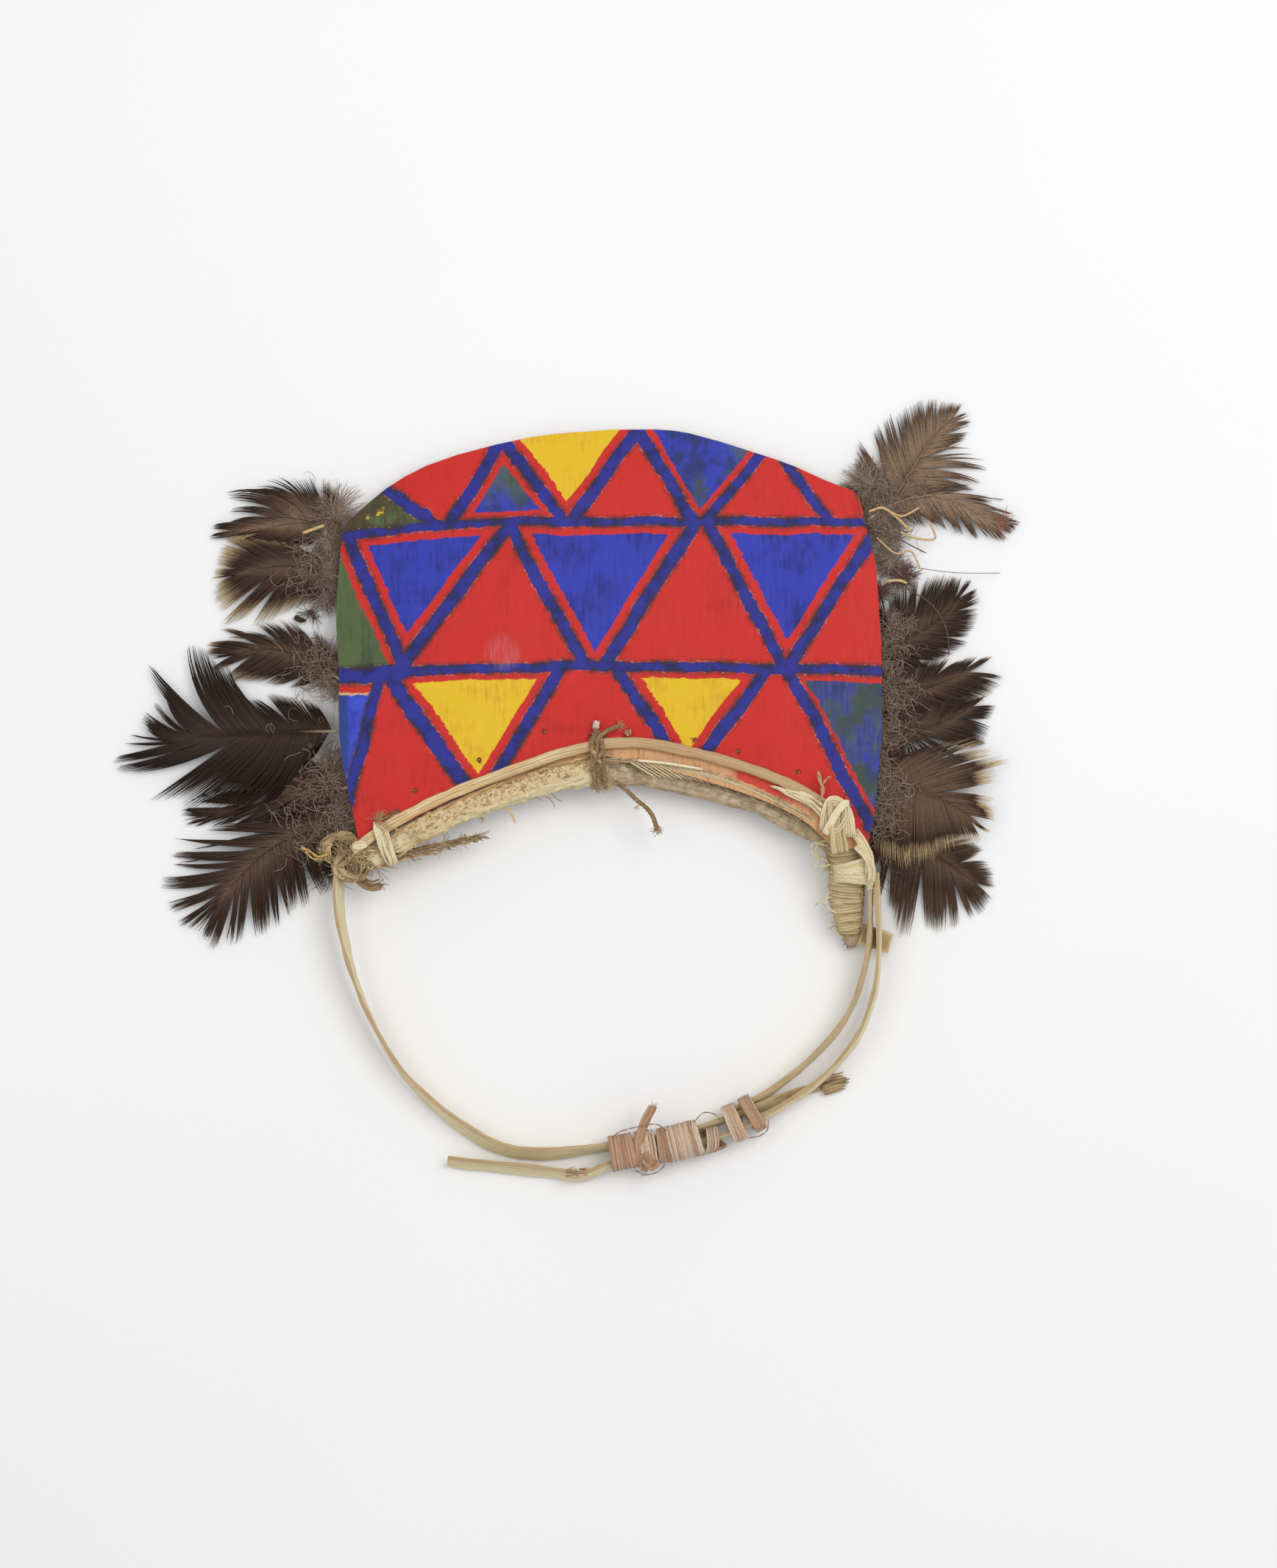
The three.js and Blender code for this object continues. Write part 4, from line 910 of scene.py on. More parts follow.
for start_x in range(8, 74, 2):
    top = brow_height(start_x) - 8.4
    slant = []
    for step in range(4):
        y = top - 1.9 * step * (1 + start_x * 0.002)
        slant.append(board_spot(start_x + 3.2 * step, y, 0.3 - 0.55 * step + 0.5 * (step == 1)))
    tone = blended(NET_GREY, FIBRE, chance.random())
    loose.fibre(slant, 9, chance.uniform(0.35, 0.9), 0.3, tone, flat=0.5)
for _ in range(110):
    x = chance.uniform(0, 74)
    drop = chance.uniform(8.4, 14)
    place = board_spot(x, brow_height(x) - drop, 0.4 - (drop - 8.4) * 0.62)
    loose.hairs(place, chance.uniform(0, 360), 40, (1.5, 4), 2, (FIBRE, NET_DARK), width=0.25, rise=0.04)
splinter = board_spots((-42.6, -24.0, -2.0), (-39.4, -25.0, -2.6), (-36.6, -27.4, -3.0), (-35.2, -31.0, -3.2))
loose.fibre(splinter, 14, 1.0, 0.4, CANE_WOOD, sides=6)
pale_strand = board_spots((10.8, -7.2, 1.6), (22, -8.4, 1.9), (35.4, -10.6, 1.6))
loose.fibre(pale_strand, 14, 1.1, 0.4, FIBRE_WHITE, sides=6, flat=0.5)
for x, y, heading in (
    (-36, -23.0, 350), (-31, -21.6, 5), (-28.6, -21.2, 340), (-25, -20.4, 350), (-21, -19.6, 300),
):
    loose.hairs(board_spot(x, y, -3.2), heading, 10, (3, 7), 1, (TWINE_DARK, SOOT), width=0.25, rise=0.01)
loose.hairs(board_spot(-47.6, -28.6, -3.2), 290, 20, (1, 3), 6, BROWN, rise=0.02)
for _ in range(170):
    x = chance.uniform(-88, -12)
    reach = chance.uniform(8, 16)
    places = seam_places(x, reach, chance.gauss(-4.7, 0.3), 0.12, 0.6)
    if x + reach < -6:
        width = chance.uniform(0.7, 1.3)
        tone = blended(CANE_WOOD, CANE_WOOD_DARK, chance.random() ** 1.5)
        loose.fibre(places, 10, width, 0.3, tone)
settle(loose.made("seam_fibre"), twine_finish, "brow_roll")


# The tie at the middle of the brow: two turns of brown twine through the board and round the roll,
# knotted on top, with a white end, a brown frayed end, fuzz at its foot and one tail that hangs.
chance = random.Random(7)
tie = Strands(chance)
for shift, lean in ((-1.6, 0.2), (0.5, -0.5), (2.0, 0.5)):
    tie.cord(board_spots(
        (-4.9 + shift, 0.8, -1.5), (-4.9 + shift, 0.9, 1.5), (-4.8 + shift, -0.4, 3.6),
        (-4.6 + shift + lean, -5, 4.0), (-4.2 + shift + lean, -11, 3.0), (-3.9 + shift + lean, -16.2, 0.6),
        (-3.8 + shift + lean, -17.4, -3.5), (-4 + shift, -15, -7.6),
    ), 1.9, BROWN)
for width, tones, pitch, points in (
    (1.7, (TWINE_LIGHT, TWINE_DARK), 5, [(-6.8, -3, 4.4), (-5, -5.5, 5.2), (-3, -8.5, 4.6)]),
    (1.7, BROWN, 5, [(-2.4, -4.4, 4.4), (-4.6, -6.4, 5.4), (-6.4, -9.6, 4.4)]),
    (1.9, BROWN, 5, [(-6.2, -0.5, 3.6), (-5.4, 2, 2.6), (-4.9, 4.2, 2.6), (-4.7, 7, 2.8)]),
    (2.5, (tint(224, 210, 200), tint(200, 176, 168)), 8, [(-4.9, 5.0, 2.8), (-4.6, 7.4, 3.0)]),
    (1.8, BROWN, 5, [(-5, -0.5, 3.8), (-3, 2.2, 3.0), (0.4, 4.4, 2.6), (3.4, 5.6, 2.2)]),
):
    tie.cord(board_spots(*points), width, tones, pitch=pitch)
tie.hairs(board_spot(3.4, 5.6, 2.2), 20, 35, (1.5, 3.2), 22, FUZZ)
tie.hairs(board_spot(-4.6, 1.4, 3.0), 100, 60, (1.5, 4), 26, (TWINE_LIGHT, TWINE_DARK))
tie.hairs(board_spot(-3.8, -16.4, 1.2), 250, 70, (1.5, 4.5), 60, FUZZ, rise=0.1)
tie.hairs(board_spot(0.6, -16, 0.8), 200, 80, (1.5, 5), 46, (TWINE_LIGHT, FIBRE), rise=0.1)
tie.cord(board_spots(
    (2.0, -15.4, -1.0), (5.4, -17.4, -1.4), (9.6, -21.4, -3.0), (14.4, -25.4, -3.8), (16.8, -29.0, -3.9),
    (18, -33.2, -3.6),
), 1.8, (TWINE_DARK, TWINE))
tie.hairs(board_spot(18, -32, -3.6), 285, 20, (2, 4.2), 34, FUZZ)
tie.hairs(board_spot(10.4, -24.6, -3.6), 260, 60, (1, 3), 10, (FIBRE, TWINE_LIGHT))
settle(tie.made("brow_tie"), twine_finish, "centre_tie")


# The bud and the pegs. A bud of twisted fibre is pulled through the peg hole beside the tie, and
# short pegs of reddish wood, frayed at the top, fill six other holes along the brow.
PEG_WOOD = tint(160, 92, 58)
PEG_FRAY = tint(120, 66, 44)
plug = Strands(chance)
foot = board_spot(BUD_X, 2.8, -1.0)
for turn in range(9):
    angle = turn * 2.4
    reach = 0.25 + 0.55 * (turn % 3) / 2
    out_x = math.cos(angle) * reach
    out_y = math.sin(angle) * reach
    places = [foot]
    for wide, tall, lean, rise in ((1, 1, 0, 2.2), (1.5, 1.5, 0.6, 3.4), (0.9, 1, 1.2, 4.6)):
        places.append(foot + Vector((out_x * wide, out_y * tall + lean, rise)) * MM)
    plug.add(places, [0.9, 1.0, 0.9, 0.3], [TWINE_DARK, TWINE, TWINE_LIGHT, TWINE], sides=6, flat=1)
for x, y in ((-24.5, 3.3), (-48.7, -7.4), (-72.8, -19.0), (32.5, 0.1), (48.5, -4.1), (71.1, -11.9)):
    peg = board_spots((x, y, -2.0), (x, y, -0.5), (x, y, -0.3))
    plug.add(peg, [2.1, 2.1, 1.2], [PEG_WOOD] * 3, sides=10, flat=1, up=Vector((0, 1, 0)))
    for _ in range(4):
        foot = board_spot(x + chance.gauss(0, 0.3), y + chance.gauss(0, 0.3), -0.8)
        tip = board_spot(x + chance.gauss(0, 0.8), y + chance.gauss(0, 0.8), 0.4)
        plug.add([foot, foot.lerp(tip, 0.5), tip], [0.5, 0.5, 0.2], [PEG_FRAY] * 3, sides=6, flat=1)
settle(plug.made("fibre_bud"), twine_finish, "fibre_plug")


# The strap at the left end: two pale flat strips of fibre folded over the strip and round the roll,
# with two thin cords over them, fuzz, and reddish fibres in the tie hole beside them.
chance = random.Random(8)
strap = Strands(chance)
for width, tones, points in (
    (4.2, PALE, [(-86.5, -30.5, -1.0), (-86.2, -31.4, 2.0), (-86.0, -33, 3.8), (-84.6, -38.4, 4.6),
                 (-82.6, -43.0, 2.8), (-81.6, -45.4, -1.5)]),
    (3.4, (FIBRE, FIBRE_WHITE), [(-84.4, -33.6, 3.6), (-83.0, -38.5, 5.0), (-81.0, -43.6, 4.2),
                                 (-80.4, -46.2, 1.0)]),
):
    line = smooth_line(board_spots(*points), 18)
    ups = [Vector((0.25, 0.1 + (index - 9) * -0.02, 1)).normalized() for index in range(18)]
    strap.band(line, ups, width, 7, 0.8, tones)
for width, tones, points in (
    (0.7, FUZZ, [(-86.8, -29.4, 3.0), (-84.0, -31.0, 4.6), (-78.0, -33.6, 4.2), (-72.0, -35.8, 3.6),
                 (-70.6, -38.8, 1.0)]),
    (0.9, (TWINE_LIGHT, FIBRE), [(-87.4, -31.6, 2.6), (-84.8, -32.4, 5.0), (-83, -35.6, 5.6),
                                 (-82, -41, 5.4), (-80.4, -44.5, 3.6)]),
):
    strap.cord(board_spots(*points), width, tones, plies=2)
strap.hairs(board_spot(-86.0, -29.6, 3.4), 95, 50, (2, 5), 36, FUZZ)
for index in range(7):
    off = (index - 3) * 0.42
    places = [board_spot(x - off * 0.45, y + off, over) for x, y, over in (
        (-85.6, -30.6, -0.4), (-81.6, -28.0, -0.15), (-77.4, -25.4, -0.4))]
    tone = blended(tint(150, 44, 36), TWINE_DARK, chance.random())
    strap.add(places, [0.8, 0.9, 0.8], [tone] * 3, sides=6, flat=0.6)
strap.hairs(board_spot(-81.6, -28.2, 0.4), 30, 60, (1.5, 4), 20, FUZZ, rise=0.1)
settle(strap.made("brow_strap"), twine_finish, "left_strap")


# The knot at the left end: twine wound over and over into three lumps that hold the hoop's left
# strip to the roll and the board, with a flat stub, a yellow tail, and a long tail along the roll.
knot = Strands(chance)
for (x, y, height), (wide, tall, deep) in (
    ((-100.8, -40.6, 16.0), (7.0, 6.4, 6.6)),
    ((-96.0, -46.4, 14.6), (7.2, 6.0, 5.6)),
    ((-93.4, -42.6, 15.4), (5.6, 4.4, 4.6)),
):
    for turn in range(46):
        slant, slope = chance.uniform(0, math.pi), chance.gauss(0.1, 0.5)
        across_one = Vector((math.cos(slant), math.sin(slant), math.sin(slope))).normalized()
        across_two = across_one.cross(Vector((chance.gauss(0, 0.6), chance.gauss(0, 0.6), 1))).normalized()
        begin = chance.uniform(0, 2 * math.pi)
        sweep = chance.uniform(1.4, 4.4)
        swell = chance.uniform(0.66, 1.08)
        loop = []
        for index in range(9):
            angle = begin + sweep * index / 8
            ball = across_one * math.cos(angle) + across_two * math.sin(angle)
            level = max(height + ball.z * deep * swell, 2.5)
            loop.append(spot(x + ball.x * wide * swell, y + ball.y * tall * swell, level))
        width = chance.uniform(0.4, 0.8) if turn % 4 else chance.uniform(1.5, 2.2)
        knot.cord(loop, width, (TWINE_LIGHT, TWINE_DARK if turn % 3 else FIBRE), pitch=6)
    knot.hairs(spot(x, y, height + deep * 0.7), 0, 180, (2, 7), 50, FUZZ)
for index in range(110):
    start_x = chance.uniform(-98, -86)
    places = []
    drop = abs(chance.gauss(0, 2.8))
    for step in range(5):
        x = start_x + step * chance.uniform(1.2, 2.6)
        y = -40.2 + (x + 98) * 0.02 - drop + chance.gauss(0, 0.7)
        places.append(board_spot(x, y, 1.6 - drop * 0.5 + chance.gauss(0, 0.5)))
    width = chance.uniform(0.4, 1.1)
    tone = blended(TWINE_LIGHT if index % 3 else FIBRE, TWINE_DARK, chance.random() ** 2)
    knot.fibre(places, 10, width, 0.2, tone)
for _ in range(60):
    angle = chance.uniform(0, 2 * math.pi)
    reach = chance.uniform(3, 8)
    root = spot(-99 + math.cos(angle) * 3, -43.6 + math.sin(angle) * 3.6, 13.6)
    reaches = (reach, reach + 2)
    knot.hairs(root, math.degrees(angle), 40, reaches, 2, FUZZ, width=0.4, rise=0.12)
fold = smooth_line(board_spots((-96.0, -39.6, 3.8), (-93.4, -38.9, 4.8), (-90.4, -38.6, 4.2)), 12)
knot.band(fold, [Vector((0, 0, 1))] * 12, 3.0, 5, 1.4, PALE, ends=0.2)
stub = smooth_line(spots(
    (-95.6, -49.0, 14), (-92.6, -53.0, 13.4), (-89.0, -54.6, 12.6), (-85.8, -54.0, 12.4)), 14)
knot.band(stub, [Vector((0.2, 0.3, 1))] * 14, 3.8, 7, 0.9, BROWN)
knot.hairs(spot(-85.8, -54.0, 12.6), 20, 40, (1, 3), 16, BROWN, rise=0.05)
YELLOW_TWINE = (tint(206, 172, 104), tint(176, 138, 80))
for width, tones, plies, taper, points in (
    (1.1, YELLOW_TWINE, 2, 0, [(-105.4, -42.4, 2), (-109, -43.4, 1.4), (-112, -41.4, 0.8),
                               (-115.4, -39.8, 1.0)]),
    (0.8, YELLOW_TWINE, 2, 0, [(-107.4, -44.4, 1.6), (-111, -44.0, 2.0), (-113.6, -41.4, 1.8)]),
    (2.2, BROWN, 3, 0.35, [
        (-93, -43, -1.5), (-87.6, -45.6, -2.2), (-82.6, -45.4, -3.6), (-76.4, -42.0, -4.4),
        (-70.6, -40.4, -5.2), (-62.4, -38.6, -6.6), (-54.8, -36.9, -7.4), (-48.9, -35.8, -8.0)]),
):
    knot.cord(board_spots(*points), width, tones, plies=plies, taper=taper)
for index in range(26):
    start = index / 25
    x = -82 + start * 30
    places = []
    for step in range(5):
        y = -44.8 + start * 8.6 + chance.gauss(0, 0.7)
        places.append(board_spot(x + step * 1.8, y, -3.4 - start * 4 + chance.gauss(0, 0.3)))
    knot.fibre(places, 9, 0.6, 0.2, blended(TWINE_LIGHT, TWINE_DARK, chance.random()), flat=0.8)
for x, y in ((-70, -40), (-63, -38.6), (-57, -37.2), (-50, -36)):
    knot.hairs(board_spot(x, y, -6.0), 10, 40, (2, 6), 18, FUZZ, rise=0.05)
knot.hairs(board_spot(-90, -47, -3), 320, 30, (5, 10), 12, BROWN, rise=0.02)
settle(knot.made("hoop_knot"), twine_finish, "left_knot")


# The right lashing: pale fibre folded over on the board, bound round and round the roll's tail, and
# crossed over the two hoop strips that it holds. Loops and a few stiff ends stick out of it.
chance = random.Random(9)
bind = Strands(chance)
tail_axis = smooth_line(spots(
    (85.0, -22.6, 15.6), (85.8, -30, 13.6), (87.4, -36, 12.0), (88.8, -43, 10.8), (89.6, -50, 9.6),
    (89.4, -58, 8.6), (90.2, -66, 7.0), (91.0, -73, 5.2)), 40)
cross_axis = smooth_line(spots((91.0, -42, 12.6), (92.2, -49, 11.8), (91.4, -56.5, 10.6)), 16)
TAIL_GIRTHS = [(0, 8.0), (6, 9.6), (14, 10.0), (24, 12.0), (32, 13.2), (40, 10.6), (48, 7.8), (52, 6.4)]
TAIL_DEPTHS = [(0, 7.0), (10, 12.0), (22, 14.5), (32, 14.5), (40, 11.0), (48, 8.6), (52, 7.0)]
CROSS_GIRTHS = [(0, 15.6), (1, 15.6)]
CROSS_DEPTHS = [(0, 16.4), (1, 16.4)]


def wound(axis, girths, depths, start, turns, pitch, first_angle, steps=20, swell=0.0):
    """Places and outward directions of a winding round an axis, which starts so far along it."""
    runs = runs_of(axis)
    frames = path_frames(axis)
    path = []
    ups = []
    for index in range(int(turns * steps) + 1):
        part = index / steps
        at = min(max(start + pitch * part, 0), runs[-1])
        leg = max(i for i in range(len(axis) - 1) if runs[i] <= at)
        share = (at - runs[leg]) / (runs[leg + 1] - runs[leg])
        centre = axis[leg].lerp(axis[leg + 1], min(share, 1))
        _, side, top = frames[leg]
        girth = along(girths, at)[1] / 2 + swell
        height = along(depths, at)[1] / 2 + swell
        angle = first_angle + 2 * math.pi * part
        c, s = math.cos(angle), math.sin(angle)
        sideways = math.copysign(abs(c) ** 0.75, c) * girth
        upwards = math.copysign(abs(s) ** 0.75, s) * height
        path.append(centre + (side * sideways + top * upwards) * MM)
        ups.append((side * (c / max(girth, 0.1)) + top * (s / max(height, 0.1))).normalized())
    return path, ups


for start, turns, pitch, first, lift in (
    (7, 5.4, 2.3, 0.3, 0.0), (16, 5.2, 2.2, 2.0, 0.2), (24, 5.2, 2.2, 0.7, 0.1), (33, 7.5, 2.3, 1.0, 0.0),
    (38, 4.5, 2.7, 4.0, 0.2), (35, 3.2, 3.6, 2.4, 0.5), (48, 3.2, -3.4, 0.2, 0.5),
):
    path, ups = wound(tail_axis, TAIL_GIRTHS, TAIL_DEPTHS, start, turns, pitch, first, swell=lift)
    bind.band(path, ups, 3.4, 7, 0.5, (FIBRE, FIBRE_SHADE))
for start, turns, pitch, first, width in (
    (3.0, 1.6, 3.6, 2.6, 2.8), (8.0, 1.7, -3.8, 0.4, 2.6), (11.4, 2.1, -2.8, 2.2, 2.4),
    (2.4, 1.5, 4.8, 5.0, 2.4),
    (12.0, 1.6, -4.4, 3.4, 2.6), (5.6, 1.4, 3.4, 1.0, 2.2), (7.6, 1.3, -5.4, 2.8, 2.0),
):
    path, ups = wound(cross_axis, CROSS_GIRTHS, CROSS_DEPTHS, start, turns, pitch, first)
    bind.band(path, ups, width, 8, 0.6, PALE)
for width, tones, points in (
    (3.6, PALE, [(80.6, -33.6, 2), (81.4, -27, 3.4), (83.2, -22.6, 4.0), (86.6, -23.4, 4.8),
                 (89.6, -28, 5.4), (90.4, -36, 5.2)]),
    (2.6, (FIBRE_WHITE, FIBRE_WHITE), [(81.0, -35.0, 4.6), (83.4, -30.0, 6.0), (87.4, -24.0, 6.4),
                                       (90.0, -23.4, 5.2)]),
    (1.8, PALE, [(82.4, -33.6, 5.0), (86.0, -33.0, 6.0), (89.0, -28.0, 6.0), (88.6, -24.0, 5.4)]),
    (5.6, (FIBRE, FIBRE_SHADE), [(84.6, -22.0, 3.6), (85.0, -29.0, 5.2), (85.6, -36.0, 5.4),
                                 (86.4, -42.0, 4.6)]),
    (3.4, PALE, [(91.6, -33.6, 2.0), (94.6, -37.6, 3.2), (97.4, -43.6, 3.0), (97.8, -49.6, 1.6)]),
    (2.8, (FIBRE, FIBRE_WHITE), [(92.6, -39.0, 3.2), (96.0, -42.6, 3.8), (98.4, -47.6, 2.8),
                                 (98.2, -53.0, 1.0)]),
):
    line = smooth_line(board_spots(*points), 20)
    bind.band(line, [Vector((0.1, 0, 1))] * 20, width, 7, 0.6, tones)
for width, tones, pitch, points in (
    (0.8, PALE, 5, [(82.4, -39.4, -2.4), (77.0, -38.2, -3.4), (76.2, -41.4, -4.8), (78.8, -44.2, -4.2),
                    (76.6, -46.2, -5.6), (79.4, -47.0, -5.0), (83.4, -46.4, -4.4)]),
    (0.8, PALE, 5, [(82.6, -37.2, -2.6), (78.8, -38.4, -3.6), (78.0, -42.6, -4.6), (82.4, -45.4, -4.8)]),
    (0.8, PALE, 5, [(86.0, -55.6, -6.0), (82.4, -57.6, -8.6), (82.0, -62.0, -9.8), (85.6, -64.4, -9.0),
                    (88.4, -64.0, -8.0)]),
    (0.8, PALE, 5, [(85.4, -58.6, -7.0), (82.0, -59.0, -8.6), (77.8, -61.4, -10.6)]),
    (1.5, FUZZ, 9, [(78.4, -11.4, 5.0), (79.2, -15.0, 4.2), (80.2, -18.8, 3.6), (79.0, -22.6, 2.8),
                    (77.8, -25.6, 1.4)]),
    (0.7, FUZZ, 5, [(80.0, -16.6, 3.8), (81.6, -14.2, 4.0), (83.2, -13.2, 4.4)]),
):
    bind.cord(board_spots(*points), width, tones, plies=2, pitch=pitch)
for index in range(16):
    along_edge = index / 15
    start = board_spot(80.4 + chance.gauss(0, 0.6), -24.2 - along_edge * 5.0, 1.8 + chance.random() * 1.6)
    end_x = 59.4 + chance.uniform(0, 9) + along_edge * 4
    end = board_spot(end_x, -16.4 - along_edge * 2.4 + chance.gauss(0, 0.5), 1.4 + chance.random())
    places = [start, start.lerp(end, 0.35) + Vector((0, 1.3 * MM, 0.4 * MM)),
              start.lerp(end, 0.7) + Vector((0, 0.6 * MM, 0)), end]
    bind.fibre(places, 12, 0.9, 0.35, blended(TWINE_LIGHT, FIBRE_WHITE, chance.random()), flat=0.6)
bind.hairs(spot(79.0, -30, 14.0), 200, 60, (2, 5), 34, BROWN)
bind.hairs(spot(84.0, -46, 12.0), 190, 50, (2, 6), 30, (FIBRE, TWINE_LIGHT))
bind.hairs(spot(91.2, -74.5, 5.0), 268, 22, (2, 4.5), 60, BROWN, rise=0.05)
for place in tail_axis[16::3]:
    bind.hairs(place + Vector((-4 * MM, 0, 1.5 * MM)), 200, 50, (2, 5), 12, (FIBRE, TWINE_LIGHT), rise=0.1)
settle(bind.made("hoop_lashing_right"), twine_finish, "right_lashing")


# The back lashing: brown ribbons of inner bark wound flat round the lap of the hoop's strips, first
# close together and then in two single turns, with a small knot, a torn end and a few hairs. The
# strips fray into short splinters of cane at both sides of their lap.
BARK = tint(192, 156, 126)
BARK_DARK = tint(164, 124, 94)
BARK_PALE = tint(214, 194, 172)
TORN_CANE = tint(196, 172, 128)
TORN_DARK = tint(122, 98, 70)
LAP_WIDTHS = [(0, 12.4), (20, 12.6), (34, 12.4), (50, 13.2), (70, 14.4)]
LAP_DEPTHS = [(0, 11.4), (1, 11.4)]
LAP_HEIGHT = 6.5
chance = random.Random(10)
ribbon = Strands(chance)
lap = smooth_line([spot(x, y, LAP_HEIGHT) for x, y in (
    (-3.4, -156.3), (-0.3, -155.9), (10.8, -153.9), (21.3, -152.3), (29.1, -150.5), (37.1, -148.2),
    (48.7, -143.2), (57.1, -138.6), (62, -136.0))], 70)
for start, turns, pitch, width, tones in (
    (6.4, 1.1, 0.9, 5.6, (BARK, BARK_DARK)), (11.2, 1.15, -1.2, 5.4, (BARK, BARK_DARK)),
    (14.6, 1.1, 2.4, 5.0, (BARK_DARK, BARK)), (19.4, 1.1, -1.6, 5.4, (BARK, BARK_PALE)),
    (23.6, 1.15, 1.8, 5.2, (BARK, BARK_DARK)), (28.2, 1.1, -1.4, 5.4, (BARK_PALE, BARK_DARK)),
    (32.0, 1.1, 1.6, 5.0, (BARK, BARK_PALE)), (37.2, 1.05, -1.6, 4.6, (BARK_PALE, BARK_DARK)),
    (36.8, 0.52, 14.0, 4.6, (BARK_PALE, BARK_DARK)), (41.0, 0.3, 15.0, 4.4, (BARK, BARK_DARK)),
    (51.8, 1.15, 1.0, 5.4, (BARK, BARK_PALE)), (60.4, 1.15, -0.8, 4.4, (BARK, BARK_DARK)),
):
    first = chance.uniform(-1.9, -1.2)
    swell = chance.uniform(0.1, 0.5)
    path, ups = wound(lap, LAP_WIDTHS, LAP_DEPTHS, start, turns, pitch, first, steps=26, swell=swell)
    ribbon.band(path, ups, width, 8, 0.35, tones)
for width, points in (
    (3.6, [(12.4, -157.0, 11.6), (11.6, -150.4, 12.6), (13.2, -144.0, 12.4), (16.6, -137.2, 13.8)]),
    (2.6, [(11.0, -160.0, 10.4), (13.0, -157.0, 12.8), (16.0, -160.6, 11.4), (18.4, -158.4, 11.6)]),
    (2.4, [(13.0, -162.0, 9.6), (15.4, -158.0, 12.6), (13.6, -154.6, 12.8)]),
):
    ups = [Vector((0.3, 0.1, 1)).normalized()] * 16
    ribbon.band(smooth_line(spots(*points), 16), ups, width, 6, 0.5, (BARK, BARK_DARK))
for points in (
    [(0.6, -150.0, 9.0), (4.0, -147.0, 12.0), (11.0, -145.0, 13.2), (17.6, -144.0, 13.6),
     (21.6, -146.4, 12.6)],
    [(32.0, -143.4, 11.6), (35.6, -139.8, 11.8), (39.8, -140.4, 12.2), (42.0, -142.8, 11.6)],
    [(52.6, -149.4, 9.0), (56.6, -148.8, 8.6), (59.6, -146.6, 8.6), (60.0, -143.0, 9.6)],
    [(10.0, -162.0, 6.0), (14.0, -163.6, 5.6), (18.6, -162.4, 6.0), (21.2, -159.6, 7.0)],
    [(37.0, -154.6, 6.0), (41.0, -154.4, 5.4), (44.6, -152.6, 6.4)],
):
    ribbon.cord(spots(*points), 0.42, (BARK_DARK, TWINE_DARK), plies=2, pitch=7)
ribbon.hairs(spot(14, -160, 9), 270, 80, (2, 6), 16, (BARK_DARK, BARK), width=0.18, rise=0.1)
ribbon.hairs(spot(16.4, -137.8, 13.6), 70, 20, (1, 2.4), 14, (BARK, BARK_DARK), rise=0.1)
for _ in range(26):
    start = spot(-13.5 + chance.uniform(-3, 3), -161.0 - chance.uniform(0, 3.6), 8.4 + chance.gauss(0, 0.3))
    tip = start + Vector((chance.uniform(1, 4), chance.gauss(0, 0.8), chance.uniform(-0.2, 0.6))) * MM
    tone = blended(CANE_SKIN, CANE_WOOD_DARK, chance.random())
    ribbon.add([start, start.lerp(tip, 0.5), tip], [0.7, 0.6, 0.1], [tone] * 3, sides=4, flat=0.6)
for _ in range(38):
    off = chance.uniform(-1, 1)
    start = spot(80.6 + off + chance.uniform(-1, 1), -130.8 - off * 2.3, chance.uniform(0.9, 2.2))
    tip = start + Vector((chance.uniform(4, 10), chance.uniform(1.2, 3.6), 0)) * MM
    tone = blended(TORN_CANE, TORN_DARK, chance.random())
    ribbon.add([start, start.lerp(tip, 0.5), tip], [1.7, 1.4, 0.4], [tone] * 3, sides=4, flat=0.6)
settle(ribbon.made("hoop_lashing_back"), twine_finish, "back_lashing")


# The feathers. Thirteen body and wing feathers of a dark bird are tied by their quills behind the
# board's side edges. Each has a quill and shaft, barbs that part into locks, and down at its foot.
constants = {"Roughness": 0.5, "Specular IOR Level": 0.22}
plume, plume_shader, on_plume = new_finish("feather_barbs", constants)
plume_tone = on_plume.node("ShaderNodeVertexColor", {"layer_name": "tone"}, {})
plume_noise = on_plume.cloud(900, 2.0)
plume_tone.coated(tint(30, 22, 18), plume_noise.rise(0.45, 0.8) * 0.35).feeds(plume_shader, "Base Color")
(plume_noise * 0.3 + 0.38).feeds(plume_shader, "Roughness")

DARK = tint(60, 42, 31)
BLACK_BROWN = tint(43, 30, 22)
MID_BROWN = tint(100, 76, 58)
PALE_BROWN = tint(138, 114, 92)
CREAM = tint(206, 178, 134)
DOWN = tint(186, 166, 148)
DOWN_DARK = tint(122, 98, 82)
QUILL = tint(206, 188, 150)
ROSE = tint(214, 140, 122)
FLUFF_BROWN = tint(104, 66, 54)
FLUFF = (DOWN, DOWN_DARK)
RAFFIA = tint(204, 172, 124)
BARB_SPACING = 0.30
BARB_STEPS = 7
DOWN_STEPS = 6
SHAFT_STEPS = 32
QUILL_WIDTH = 1.2
QUILL_DROP = 1.4
TUCKED = 7.0

